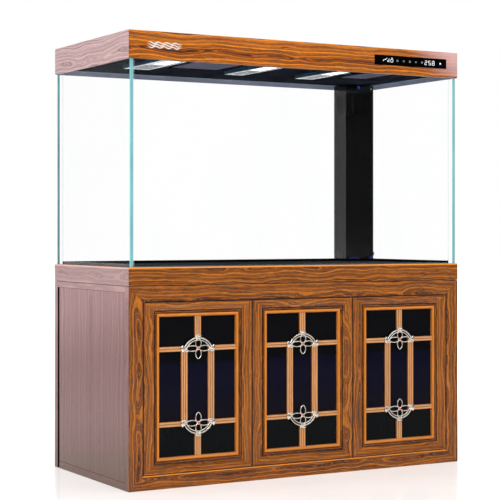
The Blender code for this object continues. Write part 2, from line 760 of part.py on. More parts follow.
def base_trim():
    """The black strip along the tank's left, rear and right sides, which steps round the overflow column."""
    x = TANK_IN_X - FIT
    y = TANK_IN_Y - FIT
    step_x = COLUMN_LEFT - FIT
    step_y = COLUMN_FRONT - FIT
    outer = [(-x, -y), (-x, y), (step_x, y), (step_x, step_y), (x, step_y), (x, -y)]
    inner = [
        (x - TRIM_THICK, -y),
        (x - TRIM_THICK, step_y - TRIM_THICK),
        (step_x - TRIM_THICK, step_y - TRIM_THICK),
        (step_x - TRIM_THICK, y - TRIM_THICK),
        (-x + TRIM_THICK, y - TRIM_THICK),
        (-x + TRIM_THICK, -y),
    ]
    low = CABINET_HEIGHT + FIT
    upright("base_trim", outer + inner, low, low + TRIM_HEIGHT, "black_plastic")


def overflow_column():
    outer = (COLUMN_LEFT, COLUMN_RIGHT, COLUMN_FRONT, COLUMN_REAR)
    inner = (
        COLUMN_LEFT + COLUMN_WALL,
        COLUMN_RIGHT - COLUMN_WALL,
        COLUMN_FRONT + COLUMN_WALL,
        COLUMN_REAR - COLUMN_WALL,
    )
    low = CABINET_HEIGHT + FIT
    profile = [(None, low), (0, low), (0, COLUMN_TOP), (None, COLUMN_TOP)]
    column = rectangle_ring("overflow_column", outer, inner, profile, "black_plastic", lying=True)
    slot_high = COLUMN_TOP - WEIR_TOP_GAP
    slot_low = slot_high - WEIR_HEIGHT
    slots = []
    for face, start, length in (
        ("front", COLUMN_LEFT, COLUMN_WIDTH),
        ("left", COLUMN_FRONT, COLUMN_DEPTH),
    ):
        count = int((length - 2 * WEIR_PITCH) / WEIR_PITCH)
        first = start + length / 2 - (count - 1) * WEIR_PITCH / 2
        for number in range(count):
            across = first + number * WEIR_PITCH
            side_low = across - WEIR_SLOT / 2
            side_high = across + WEIR_SLOT / 2
            if face == "front":
                low_corner = (side_low, COLUMN_FRONT - COLUMN_WALL, slot_low)
                high_corner = (side_high, COLUMN_FRONT + 2 * COLUMN_WALL, slot_high)
            else:
                low_corner = (COLUMN_LEFT - COLUMN_WALL, side_low, slot_low)
                high_corner = (COLUMN_LEFT + 2 * COLUMN_WALL, side_high, slot_high)
            slots.append(block(f"cutter_weir_{face}_{number}", low_corner, high_corner))
    nozzle_z = COLUMN_TOP - RETURN_TOP_GAP
    nozzle = rod(
        "cutter_nozzle",
        (RETURN_X, COLUMN_FRONT + 2 * COLUMN_WALL, nozzle_z),
        (0, -1, 0),
        3 * COLUMN_WALL,
        RETURN_RADIUS + RUNNING,
    )
    cut(column, *slots, nozzle)


def drain_pipe():
    low = SUMP_TOP + TRAY_FLANGE + TRAY_LIFT + DRAIN_OVER_TRAY
    length = COLUMN_TOP - DRAIN_TOP_GAP - low
    inside = DRAIN_RADIUS - DRAIN_WALL
    profile = [(0, inside), (0, DRAIN_RADIUS), (length, DRAIN_RADIUS), (length, inside), (0, inside)]
    turned("drain_pipe", (DRAIN_X, PIPES_Y, low), (0, 0, 1), profile, "grey_plastic")


def rounded_route(corners, bend, steps=5):
    """A path through the corners, each one replaced by an arc that starts one bend away from it."""
    points = [Vector(corners[0])]
    for before, corner, after in zip(corners, corners[1:], corners[2:]):
        corner = Vector(corner)
        start = corner + (Vector(before) - corner).normalized() * bend
        end = corner + (Vector(after) - corner).normalized() * bend
        centre = start + end - corner
        for step in range(steps + 1):
            angle = math.pi / 2 * step / steps
            points.append(centre + (start - centre) * math.cos(angle) + (end - centre) * math.sin(angle))
    points.append(Vector(corners[-1]))
    return points


def return_pipe():
    """From the pump up the cabinet, along its rear, and up the column to the nozzle in its front."""
    run = SUMP_TOP + TRAY_FLANGE + TRAY_LIFT + RUN_OVER_TRAY
    nozzle_z = COLUMN_TOP - RETURN_TOP_GAP
    corners = [
        (PUMP_X, PUMP_Y, PUMP_TOP + FIT),
        (PUMP_X, PUMP_Y, run),
        (PUMP_X, PIPES_Y, run),
        (RETURN_X, PIPES_Y, run),
        (RETURN_X, PIPES_Y, nozzle_z),
        (RETURN_X, COLUMN_FRONT - NOZZLE_REACH, nozzle_z),
    ]
    points = rounded_route(corners, RETURN_BEND)
    curve = bpy.data.curves.new("return_pipe", "CURVE")
    curve.dimensions = "3D"
    curve.bevel_depth = RETURN_RADIUS
    curve.bevel_resolution = 2
    curve.use_fill_caps = True
    spline = curve.splines.new("POLY")
    spline.points.add(len(points) - 1)
    for point, position in zip(spline.points, points):
        point.co = (*position, 1.0)
    place("return_pipe", curve, "white_plastic")


# ---------------------------------------------------------------- sump filter


def sump_tank():
    sump = block("sump_tank", (SUMP_LEFT, SUMP_FRONT, SUMP_LOW), (SUMP_RIGHT, SUMP_REAR, SUMP_TOP), "clear_glass")
    inner_left = SUMP_LEFT + SUMP_GLASS
    inner_right = SUMP_RIGHT - SUMP_GLASS
    inner_front = SUMP_FRONT + SUMP_GLASS
    inner_rear = SUMP_REAR - SUMP_GLASS
    floor = SUMP_LOW + SUMP_GLASS
    filter_left = inner_right - FILTER_CHAMBER
    pump_right = inner_left + PUMP_CHAMBER
    above = SUMP_TOP + SUMP_GLASS
    chambers = (
        ("filter", filter_left, inner_right),
        ("middle", pump_right + SUMP_GLASS, filter_left - SUMP_GLASS),
        ("pump", inner_left, pump_right),
    )
    for chamber, x_low, x_high in chambers:
        cut(sump, block(f"cutter_{chamber}_chamber", (x_low, inner_front, floor), (x_high, inner_rear, above)))
    baffles = (
        ("filter", filter_left, FILTER_BAFFLE_DROP),
        ("pump", pump_right + SUMP_GLASS, PUMP_BAFFLE_DROP),
    )
    for baffle, x_high, drop in baffles:
        x_low = x_high - SUMP_GLASS
        low = (x_low - SUMP_GLASS, inner_front, SUMP_TOP - drop)
        high = (x_high + SUMP_GLASS, inner_rear, above + SUMP_GLASS)
        cut(sump, block(f"cutter_{baffle}_baffle", low, high))


def filter_tray(label, right):
    """A slotted tray that hangs on the sump's front and rear walls by its flange."""
    left = right - TRAY_LENGTH
    pivot = pivot_at(f"filter_tray_{label}_axis", ((left + right) / 2, (SUMP_FRONT + SUMP_REAR) / 2, SUMP_TOP))
    rim = SUMP_TOP + FIT
    top = rim + TRAY_FLANGE
    low = rim - TRAY_DEPTH
    body_front = SUMP_FRONT + SUMP_GLASS + TRAY_ROOM
    body_rear = SUMP_REAR - SUMP_GLASS - TRAY_ROOM
    name = f"filter_tray_{label}"
    tray = block(name, (left, body_front, low), (right, body_rear, top), "black_plastic", pivot)
    flange = block(f"cutter_{name}_flange", (left + FIT, SUMP_FRONT, rim), (right - FIT, SUMP_REAR, top - FIT))
    weld(tray, flange)
    hollow = block(
        f"cutter_{name}_hollow",
        (left + TRAY_WALL, body_front + TRAY_WALL, low + TRAY_WALL),
        (right - TRAY_WALL, body_rear - TRAY_WALL, top + TRAY_WALL),
    )
    cut(tray, hollow)
    pitch = (TRAY_LENGTH - 2 * TRAY_WALL) / (TRAY_SLOTS + 1)
    for number in range(TRAY_SLOTS):
        x = left + TRAY_WALL + pitch * (number + 1)
        slot = block(
            f"cutter_{name}_slot_{number}",
            (x - TRAY_SLOT_WIDTH / 2, body_front + 4 * TRAY_WALL, low - TRAY_WALL),
            (x + TRAY_SLOT_WIDTH / 2, body_rear - 4 * TRAY_WALL, low + 2 * TRAY_WALL),
        )
        cut(tray, slot)


def return_pump():
    wide, deep, tall = PUMP_SIZE
    front = PUMP_Y - deep / 2
    pump = block(
        "return_pump",
        (PUMP_X - wide / 2, front, PUMP_LOW),
        (PUMP_X + wide / 2, PUMP_Y + deep / 2, PUMP_TOP),
        "black_plastic",
    )
    z = (PUMP_LOW + PUMP_TOP) / 2
    pocket_depth = IMPELLER_DEPTH + 2 * IMPELLER_ROOM
    eye = rod(
        "cutter_pump_eye",
        (PUMP_X, front + pocket_depth, z),
        (0, -1, 0),
        2 * pocket_depth,
        IMPELLER_RADIUS + IMPELLER_ROOM,
    )
    cut(pump, eye)
    pivot = pivot_at("impeller_axis", (PUMP_X, front + IMPELLER_ROOM, z))
    start = front + IMPELLER_ROOM + IMPELLER_DEPTH
    impeller = rod(
        "pump_impeller",
        (PUMP_X, start, z),
        (0, -1, 0),
        IMPELLER_DEPTH,
        IMPELLER_HUB,
        "white_plastic",
        pivot,
        PIVOT_SIDES,
    )
    for number in range(IMPELLER_BLADES):
        # Each blade is a little shorter than the last, so that no two faces lie in one plane.
        trim = FIT * (number + 1)
        half = IMPELLER_BLADE / 2
        low = (trim - IMPELLER_RADIUS, start - IMPELLER_DEPTH + trim, -half)
        high = (IMPELLER_RADIUS - trim, start - trim, half)
        blade = block(f"cutter_blade_{number}", low, high)
        turn = Matrix.Rotation(number * math.pi / IMPELLER_BLADES, 4, "Y")
        blade.data.transform(Matrix.Translation((PUMP_X, 0, z)) @ turn)
        weld(impeller, blade)


def heater():
    x = (SUMP_LEFT + SUMP_GLASS + PUMP_CHAMBER + SUMP_RIGHT - SUMP_GLASS - FILTER_CHAMBER) / 2
    cap = HEATER_RADIUS * 1.2
    profile = [
        (0, HEATER_RADIUS * 0.6),
        (HEATER_RADIUS * 0.5, HEATER_RADIUS),
        (HEATER_LENGTH - HEATER_CAP, HEATER_RADIUS),
        (HEATER_LENGTH - HEATER_CAP, cap),
        (HEATER_LENGTH, cap),
    ]
    low = SUMP_LOW + SUMP_GLASS + HEATER_LIFT
    turned("heater", (x, PIPES_Y - 2 * cap, low), (0, 0, 1), profile, "black_plastic")


# ---------------------------------------------------------------- canopy


def lid_edges(side):
    """The edges of a lid, as (x low, x high, y low, y high)."""
    middle = sum(FEED_SPANS[side]) / 2
    front = FRONT + LID_FRONT
    return middle - LID_WIDTH / 2, middle + LID_WIDTH / 2, front, front + LID_DEPTH


def canopy(pivot):
    shell = block("canopy_shell", (LEFT, FRONT, CANOPY_LOW), (RIGHT, REAR, CANOPY_HIGH), "wood", pivot)
    lip = TANK_INSET - TANK_CLEARANCE
    above_glass = TANK_TOP + FIT
    skirt = block(
        "cutter_skirt",
        (LEFT + lip, FRONT + lip, CANOPY_LOW - lip),
        (RIGHT - lip, REAR - lip, above_glass),
    )
    hollow = block(
        "cutter_hollow",
        (LEFT + CANOPY_WALL, FRONT + CANOPY_WALL, above_glass - lip),
        (RIGHT - CANOPY_WALL, REAR - CANOPY_WALL, CANOPY_HIGH - CANOPY_TOP),
    )
    cut(shell, skirt, hollow)
    for side in FEED_SPANS:
        x_low, x_high, y_low, y_high = lid_edges(side)
        seat = CANOPY_HIGH - LID_THICK - FIT
        well = block(
            f"cutter_well_{side}",
            (x_low - LID_GAP, y_low - LID_GAP, seat),
            (x_high + LID_GAP, y_high + LID_GAP, CANOPY_HIGH + lip),
        )
        throat = block(
            f"cutter_throat_{side}",
            (x_low + LID_LEDGE, y_low + LID_LEDGE, CANOPY_HIGH - 2 * CANOPY_TOP),
            (x_high - LID_LEDGE, y_high + LID_GAP + FIT, CANOPY_HIGH + 2 * lip),
        )
        notch = block(f"cutter_ledge_notch_{side}", *notch_corners(side))
        swing = block(
            f"cutter_swing_{side}",
            (x_low - LID_GAP / 2, y_high - PIVOT_INSET - LID_SWING, CANOPY_HIGH - 3 * CANOPY_TOP),
            (x_high + LID_GAP / 2, y_high + LID_GAP / 2, CANOPY_HIGH - LID_THICK + FIT),
        )
        pin_reach = LID_GAP + LID_PIN + 2 * FIT
        pins = rod(
            f"cutter_lid_pins_{side}",
            (x_low - pin_reach, y_high - PIVOT_INSET, CANOPY_HIGH - PIVOT_INSET),
            (1, 0, 0),
            LID_WIDTH + 2 * pin_reach,
            PIVOT_RADIUS + RUNNING,
            sides=PIVOT_SIDES,
        )
        cut(shell, well, throat, notch, swing, pins)
    recess = block(
        "cutter_panel_recess",
        (RIGHT - PANEL_FROM_RIGHT - PANEL_WIDTH - FIT, FRONT - lip, CANOPY_HIGH - PANEL_DROP - PANEL_HEIGHT - FIT),
        (RIGHT - PANEL_FROM_RIGHT + FIT, FRONT + PANEL_THICK + FIT, CANOPY_HIGH - PANEL_DROP + FIT),
    )
    cut(shell, recess)
    block(
        "control_panel",
        (RIGHT - PANEL_FROM_RIGHT - PANEL_WIDTH, FRONT, CANOPY_HIGH - PANEL_DROP - PANEL_HEIGHT),
        (RIGHT - PANEL_FROM_RIGHT, FRONT + PANEL_THICK, CANOPY_HIGH - PANEL_DROP),
        "black_plastic",
        pivot,
    )
    canopy_ceiling(pivot)


def notch_corners(side):
    """The finger notch in a lid's front edge and in the ledge under it."""
    x_low, x_high, y_low, _ = lid_edges(side)
    middle = (x_low + x_high) / 2
    low = (middle - NOTCH_WIDTH / 2, y_low - LID_GAP, CANOPY_HIGH - 3 * CANOPY_TOP / 2)
    high = (middle + NOTCH_WIDTH / 2, y_low + NOTCH_DEPTH, CANOPY_HIGH + CANOPY_TOP)
    return low, high


def canopy_ceiling(pivot):
    inset = CANOPY_WALL + FIT
    ceiling = block(
        "canopy_ceiling",
        (LEFT + inset, FRONT + inset, CEILING_LOW),
        (RIGHT - inset, REAR - inset, CEILING_LOW + CEILING_THICK),
        "black_plastic",
        pivot,
    )
    for side, (x_low, x_high) in FEED_SPANS.items():
        front = FRONT + FEED_FRONT
        opening = block(
            f"cutter_feed_{side}",
            (x_low, front, CEILING_LOW - CEILING_THICK),
            (x_high, front + FEED_DEPTH, CEILING_LOW + 2 * CEILING_THICK),
        )
        cut(ceiling, opening)
    lamp_top = CEILING_LOW - FIT
    front = FRONT + LAMP_FROM_FRONT
    for side, x in LAMP_PLACES.items():
        block(
            f"lamp_{side}",
            (x - LAMP_WIDTH / 2, front, lamp_top - LAMP_THICK),
            (x + LAMP_WIDTH / 2, front + LAMP_LENGTH, lamp_top),
            "white_plastic",
            pivot,
        )


def lid(side):
    """A feeding lid that turns on stub pins at its rear edge and rests on the canopy's ledge."""
    x_low, x_high, y_low, y_high = lid_edges(side)
    axis_y = y_high - PIVOT_INSET
    axis_z = CANOPY_HIGH - PIVOT_INSET
    pivot = pivot_at(f"lid_{side}_axis", ((x_low + x_high) / 2, axis_y, axis_z))
    plate = block(f"lid_{side}", (x_low, y_low, CANOPY_HIGH - LID_THICK), (x_high, y_high, CANOPY_HIGH), "wood", pivot)
    reach = LID_GAP + LID_PIN
    pins = rod(
        f"cutter_lid_stubs_{side}",
        (x_low - reach, axis_y, axis_z),
        (1, 0, 0),
        LID_WIDTH + 2 * reach,
        PIVOT_RADIUS,
        sides=PIVOT_SIDES,
    )
    cut(plate, block(f"cutter_lid_notch_{side}", *notch_corners(side)))
    weld(plate, pins)


def build():
    clear_scene()
    face_frame()
    cabinet_carcass()
    cabinet_top()
    ornament = ornament_mesh()
    for index, label in enumerate(("left", "middle", "right")):
        door(index, label, ornament)
        hinge_pins(index, label)
        push_latch(index, label)
    tank()
    base_trim()
    overflow_column()
    drain_pipe()
    return_pipe()
    sump_tank()
    first_right = SUMP_RIGHT - SUMP_GLASS - TRAY_ROOM
    filter_tray("right", first_right)
    filter_tray("left", first_right - TRAY_LENGTH - 2 * TRAY_ROOM)
    return_pump()
    heater()
    canopy(pivot_at("canopy_axis", (0, 0, CANOPY_LOW)))
    for side in FEED_SPANS:
        lid(side)


build()
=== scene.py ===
"""Looks of an aquarium on a wooden stand, built round its fixed frame.

Lacquered cabinet with three glazed doors, cast door ornaments, a glass tank with an overflow column,
a sump filter and a lamp canopy. Metres, +Z up, and the front faces -Y.
"""

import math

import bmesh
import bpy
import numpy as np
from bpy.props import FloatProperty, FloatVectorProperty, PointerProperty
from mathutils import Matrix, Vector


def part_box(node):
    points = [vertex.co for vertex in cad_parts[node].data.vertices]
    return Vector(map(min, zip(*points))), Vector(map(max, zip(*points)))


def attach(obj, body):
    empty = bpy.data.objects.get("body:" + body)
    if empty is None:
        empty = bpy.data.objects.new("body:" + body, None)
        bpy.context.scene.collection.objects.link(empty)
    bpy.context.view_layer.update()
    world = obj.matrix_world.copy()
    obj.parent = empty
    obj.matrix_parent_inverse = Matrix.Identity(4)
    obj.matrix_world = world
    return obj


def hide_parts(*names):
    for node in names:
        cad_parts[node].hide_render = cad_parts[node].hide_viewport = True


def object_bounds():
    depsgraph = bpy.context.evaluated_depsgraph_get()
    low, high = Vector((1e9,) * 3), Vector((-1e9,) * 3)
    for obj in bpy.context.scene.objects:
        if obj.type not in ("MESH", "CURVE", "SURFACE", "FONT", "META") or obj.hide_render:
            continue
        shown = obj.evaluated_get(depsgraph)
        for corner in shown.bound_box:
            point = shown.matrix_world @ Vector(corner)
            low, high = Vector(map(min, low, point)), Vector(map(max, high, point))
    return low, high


bl_info = {
    "name": "Aquarium on Stand",
    "version": (1, 0, 0),
    "blender": (4, 5, 0),
    "location": "View3D > Sidebar > Aquarium",
    "description": "Builds the finished pieces, materials and stage of an aquarium on a wooden stand",
    "category": "Add Mesh",
}

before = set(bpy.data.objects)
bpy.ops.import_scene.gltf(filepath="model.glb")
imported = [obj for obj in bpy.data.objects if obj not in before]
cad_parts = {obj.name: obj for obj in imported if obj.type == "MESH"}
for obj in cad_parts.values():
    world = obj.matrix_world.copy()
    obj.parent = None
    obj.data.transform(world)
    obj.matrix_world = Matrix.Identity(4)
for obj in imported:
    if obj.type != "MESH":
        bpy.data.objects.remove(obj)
FRAME_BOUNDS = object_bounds()

DOORS = ("left", "middle", "right")
DOOR_GAP = 0.0025
CABINET = "cabinet_and_tank"
TAU = 2 * math.pi
HAIR = 0.0003  # the gap between pieces that touch
INNER = 2.0  # a mitred profile's place on its inner rectangle
OUTER = 3.0  # and on its outer rectangle


# ---------------------------------------------------------------- settings


def colour(name, description, default):
    """A colour setting."""
    return FloatVectorProperty(
        name=name, description=description, default=default, subtype="COLOR", size=3, min=0.0, max=1.0
    )


def length(name, description, default):
    """A length setting, in metres."""
    return FloatProperty(
        name=name, description=description, default=default, min=0.0, unit="LENGTH", precision=5
    )


class AQUARIUM_PG_wood(bpy.types.PropertyGroup):
    """Colours of the veneers and how close their veins lie."""

    front_light: colour("Front Light", "Palest wood of the cabinet's front", (0.680, 0.205, 0.015))
    front_middle: colour("Front Middle", "Main wood of the cabinet's front", (0.250, 0.066, 0.010))
    front_vein: colour("Front Vein", "Dark veins of the cabinet's front", (0.026, 0.009, 0.007))
    canopy_light: colour("Canopy Light", "Palest wood of the canopy's front", (0.960, 0.285, 0.012))
    canopy_middle: colour("Canopy Middle", "Main wood of the canopy's front", (0.420, 0.098, 0.008))
    canopy_vein: colour("Canopy Vein", "Dark veins of the canopy's front", (0.045, 0.014, 0.010))
    # The lilac and pink of the sides, rails and canopy ends is partly the wood's colour and partly a painted
    # reflection on the lacquer.
    side_light: colour("Side Light", "Palest wood of the cabinet's sides", (0.430, 0.232, 0.222))
    side_middle: colour("Side Middle", "Main wood of the cabinet's sides", (0.330, 0.172, 0.170))
    side_vein: colour("Side Vein", "Veins of the cabinet's sides", (0.170, 0.085, 0.100))
    rail_light: colour("Rail Light", "Palest wood of the side's rails", (0.640, 0.385, 0.355))
    rail_middle: colour("Rail Middle", "Main wood of the side's rails", (0.480, 0.290, 0.280))
    rail_vein: colour("Rail Vein", "Veins of the side's rails", (0.200, 0.125, 0.165))
    top_side_light: colour("Canopy Side Light", "Palest wood of the canopy's sides", (0.820, 0.540, 0.510))
    top_side_middle: colour("Canopy Side Middle", "Main wood of the canopy's sides", (0.660, 0.425, 0.410))
    top_side_vein: colour("Canopy Side Vein", "Veins of the canopy's sides", (0.210, 0.120, 0.160))
    bar_light: colour("Bar Light", "Palest wood of the door bars", (0.700, 0.330, 0.125))
    bar_middle: colour("Bar Middle", "Main wood of the door bars", (0.520, 0.205, 0.062))
    bar_vein: colour("Bar Vein", "Veins of the door bars", (0.180, 0.060, 0.018))
    ring_width: length("Ring Width", "Mean distance between veins, halved", 0.0058)


class AQUARIUM_PG_glass(bpy.types.PropertyGroup):
    """Colours of the glass, the stones and the plastics."""

    edge_bright: colour("Edge Bright", "Borders of a polished glass edge", (0.250, 0.700, 0.680))
    edge_core: colour("Edge Core", "Middle of a polished glass edge", (0.220, 0.500, 0.540))
    pane_navy: colour("Pane Navy", "Lower part of the tinted door panes", (0.0022, 0.0022, 0.0130))
    stone_red: colour("Stone Red", "Set stones of the door ornaments", (0.700, 0.020, 0.008))
    blue: colour("Nozzle Blue", "Blue plastic of the nozzle and the foot clips", (0.060, 0.090, 0.900))


class AQUARIUM_PG_sizes(bpy.types.PropertyGroup):
    """Small sizes that the looks add to the frame."""

    edge_round: length("Edge Rounding", "Radius on the cabinet's outer edges", 0.0012)
    mitre_gap: length("Mitre Gap", "Open joint between mitred members", 0.0003)
    band_round: length("Band Rounding", "Radius on the upper edge of the top band", 0.0050)
    arris: length("Glass Arris", "Width of the bright border along a polished glass edge", 0.0045)
    petal_wire: length("Petal Wire", "Half the width of a petal's wire", 0.0019)
    arch_outer: length("Arch Outer", "Half the width of the outer arch band", 0.0027)
    arch_inner: length("Arch Inner", "Half the width of the inner arch band", 0.0021)


def wood():
    """The settings of the veneers."""
    return bpy.context.scene.aquarium_wood


def glass():
    """The settings of the glass, the stones and the plastics."""
    return bpy.context.scene.aquarium_glass


def sizes():
    """The settings of the small sizes."""
    return bpy.context.scene.aquarium_sizes


# ---------------------------------------------------------------- shells


def span(node):
    """The low and high corners of a node of the frame, as two arrays."""
    low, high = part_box(node)
    return np.array(low), np.array(high)


def loft(sections, closed=False):
    """Rings of points joined in order: quad (i, j) joins points j and j+1 of rings i and i+1.

    An open loft has a flat cap on its first and last ring, and a closed one joins its last ring to its first.
    """
    sections = np.asarray(sections, float)
    rings, around = sections.shape[:2]
    row = np.arange(rings if closed else rings - 1)[:, None]
    column = np.arange(around)[None, :]
    after = (column + 1) % around
    above = (row + 1) % rings
    quads = [row * around + column, row * around + after, above * around + after, above * around + column]
    faces = np.stack(quads, axis=-1).reshape(-1, 4).tolist()
    if not closed:
        faces.append(list(range(around))[::-1])
        faces.append(list(range((rings - 1) * around, rings * around)))
    return sections.reshape(-1, 3), faces


def carved(boxes, holes=(), lines=((), (), ())):
    """Boxes less holes, as the boundary of the cells that all their sides make.

    A cell is solid if its middle lies in a box and in no hole. Each cell side between a solid cell and an
    empty one becomes a quad. Lines are further places on each axis where faces are divided.
    """
    boxes = np.array(boxes, float)
    low, high = boxes[:, 0].min(0), boxes[:, 1].max(0)
    holes = np.clip(np.array(holes, float).reshape(-1, 2, 3), low, high)
    corners = np.concatenate([boxes, holes])
    edges = [np.unique(np.round([*corners[:, :, axis].ravel(), *lines[axis]], 7)) for axis in range(3)]
    middles = np.stack(np.meshgrid(*[(e[1:] + e[:-1]) / 2 for e in edges], indexing="ij"), axis=-1)

    def within(several):
        """The cells whose middles lie in any of several boxes."""
        found = np.zeros(middles.shape[:3], bool)
        for one in several:
            found |= np.all((middles > one[0]) & (middles < one[1]), axis=-1)
        return found

    solid = np.pad(within(boxes) & ~within(holes), 1)
    counts = [len(e) for e in edges]
    stride = np.array([counts[1] * counts[2], counts[2], 1])
    quads = []
    for axis in range(3):
        across, up = stride[(axis + 1) % 3], stride[(axis + 2) % 3]
        outward, inward = (0, across, across + up, up), (0, up, across + up, across)
        trims = [slice(1, -1)] * 3
        before, behind = list(trims), list(trims)
        before[axis], behind[axis] = slice(0, -1), slice(1, None)
        below, above = solid[tuple(before)], solid[tuple(behind)]
        for faced, turn in ((below & ~above, outward), (~below & above, inward)):
            quads.append((np.argwhere(faced) @ stride)[:, None] + np.array(turn))
    used, faces = np.unique(np.concatenate(quads), return_inverse=True)
    grid = np.stack(np.meshgrid(*edges, indexing="ij"), axis=-1).reshape(-1, 3)
    return grid[used], faces.reshape(-1, 4).tolist()


def cuboid(low, high, lines=((), (), ())):
    """One box. Lines are further places on each axis where its faces are divided."""
    return carved([(low, high)], lines=lines)


def carried(outline, axis, start, end):
    """A straight bar: a closed outline, square to an axis, carried from start to end along it."""
    outline = np.array(outline, float)
    rings = np.empty((2, len(outline), 3))
    rings[:, :, [i for i in range(3) if i != axis]] = outline
    rings[0, :, axis] = start
    rings[1, :, axis] = end
    return loft(rings)


def turned(profile, centre, axis, sides=20):
    """A solid of revolution: (along, radius) points carried round the axis, with flat ends."""
    profile = np.array(profile, float)
    blunt_tip = 5e-5
    radius = np.maximum(profile[:, 1], blunt_tip)[:, None]
    angle = (np.arange(sides)[None, :] * TAU / sides)[..., None]
    others = np.eye(3)[[i for i in range(3) if i != axis]]
    points = radius[..., None] * (np.cos(angle) * others[0] + np.sin(angle) * others[1])
    points = points + profile[:, 0][:, None, None] * np.eye(3)[axis] + np.array(centre, float)
    return loft(points)


def wire(path, middle, half_width, half_depth, closed=False, sides=10, taper=None):
    """A rounded wire in an upright plane: an ellipse carried along a path of (x, z) points.

    At each point the ellipse stands square to the path: it reaches half_width in the plane and half_depth
    along Y. Taper scales both at each point.
    """
    path = np.array(path, float)
    if closed:
        ahead = np.roll(path, -1, 0) - np.roll(path, 1, 0)
    else:
        ahead = np.gradient(path, axis=0)
    ahead /= np.linalg.norm(ahead, axis=1)[:, None]
    square = np.stack([-ahead[:, 1], ahead[:, 0]], axis=1)
    angle = np.arange(sides) * TAU / sides
    scale = np.ones(len(path)) if taper is None else np.asarray(taper)
    wide = (half_width * scale)[:, None] * np.cos(angle)
    deep = (half_depth * scale)[:, None] * np.sin(angle)
    points = np.empty((len(path), sides, 3))
    points[..., 0] = path[:, 0, None] + square[:, 0, None] * wide
    points[..., 2] = path[:, 1, None] + square[:, 1, None] * wide
    points[..., 1] = middle + deep
    return loft(points, closed)


def cushion(x, z, half_x, half_z, back, front, lobes=0, ripple=0.0, square=2.0, rings=8, around=36):
    """A domed boss: rings of a rounded outline that shrink towards the front.

    The outline is a superellipse of the given squareness, rippled by a cosine with so many lobes, and ring s
    is cos(s) of it at a depth that follows sin(s).
    """
    turn = np.arange(around) * TAU / around
    radius = (np.abs(np.cos(turn)) ** square + np.abs(np.sin(turn)) ** square) ** (-1 / square)
    radius = radius * (1 + ripple * np.cos(lobes * turn))
    rise = np.linspace(0, math.pi / 2, rings)
    scale = np.maximum(np.cos(rise), 0.02)
    depth = np.concatenate([[back], back + (front - back) * (0.35 + 0.65 * np.sin(rise))])
    scale = np.concatenate([[1.0], scale])
    points = np.empty((len(scale), around, 3))
    points[..., 0] = x + half_x * scale[:, None] * radius * np.cos(turn)
    points[..., 2] = z + half_z * scale[:, None] * radius * np.sin(turn)
    points[..., 1] = depth[:, None]
    return loft(points)


def mitred(outer, inner, profile, lying=False):
    """Four members of a frame, each one the profile run between two mitred corners.

    Rectangles are (low x, high x, low side, high side). A profile point is (outward, depth). Outward is in
    metres from the inner rectangle, or goes from INNER to OUTER for a share of the way from it to the outer
    one. Member i runs from corner i to corner i + 1, shortened by half the open joint.
    """
    outward = np.array([p[0] for p in profile], float)
    depth = np.array([p[1] for p in profile], float)
    share = np.clip(outward - INNER, 0, 1)[:, None]
    absolute = np.where(outward < INNER, outward, 0.0)[:, None]
    signs = np.array([(-1, -1), (1, -1), (1, 1), (-1, 1)], float)
    shells = []
    for corner in range(4):
        ends = []
        for place in (corner, (corner + 1) % 4):
            pick = [1 if signs[place][0] > 0 else 0, 3 if signs[place][1] > 0 else 2]
            near = np.array([inner[pick[0]], inner[pick[1]]])
            far = np.array([outer[pick[0]], outer[pick[1]]])
            flat = near + (far - near) * share + signs[place] * absolute
            ends.append(flat)
        run = signs[(corner + 1) % 4] - signs[corner]
        run = run / np.linalg.norm(run)
        ends[0] = ends[0] + run * sizes().mitre_gap / 2
        ends[1] = ends[1] - run * sizes().mitre_gap / 2
        rings = np.empty((2, len(profile), 3))
        for ring, flat in zip(rings, ends):
            ring[:, 0] = flat[:, 0]
            ring[:, 1 if lying else 2] = flat[:, 1]
            ring[:, 2 if lying else 1] = depth
        shells.append(loft(rings))
    return shells


class Shells:
    """Closed shells gathered into one piece, with the wood's place at each point, and a tone: painted
    highlight and shade on wood, tarnish on metal.
    """

    def __init__(self):
        self.points = []
        self.faces = []
        self.places = []
        self.tones = []
        self.count = 0

    def add(self, shell, grain="xzy", seed=0, tone=0.0):
        """Adds a shell. Grain names the axes along the wood, across it and into it; seed picks its board."""
        points, faces = shell
        spread = np.array((4, 0.020, 0.012))
        board = np.random.default_rng(seed).uniform(-spread, spread)
        axes = ["xyz".index(letter) for letter in grain]
        place = points[:, axes] - points[:, axes].mean(0) * (0, 1, 1) + board
        self.points.append(points)
        self.faces += [[index + self.count for index in face] for face in faces]
        self.places.append(place)
        self.tones.append(np.broadcast_to(tone, len(points)).astype(float))
        self.count += len(points)
        return self

    def add_frame(self, shells, lying=False, seed=0, tone=0.0):
        """Adds four mitred members, each with its grain along its run."""
        level = "xzy"
        upright = "yzx" if lying else "zxy"
        for number, shell in enumerate(shells):
            own = tone[number] if np.ndim(tone) == 2 else tone
            repeated = np.tile(own, 2) if np.ndim(own) else own
            self.add(shell, level if number % 2 == 0 else upright, seed + number, repeated)
        return self


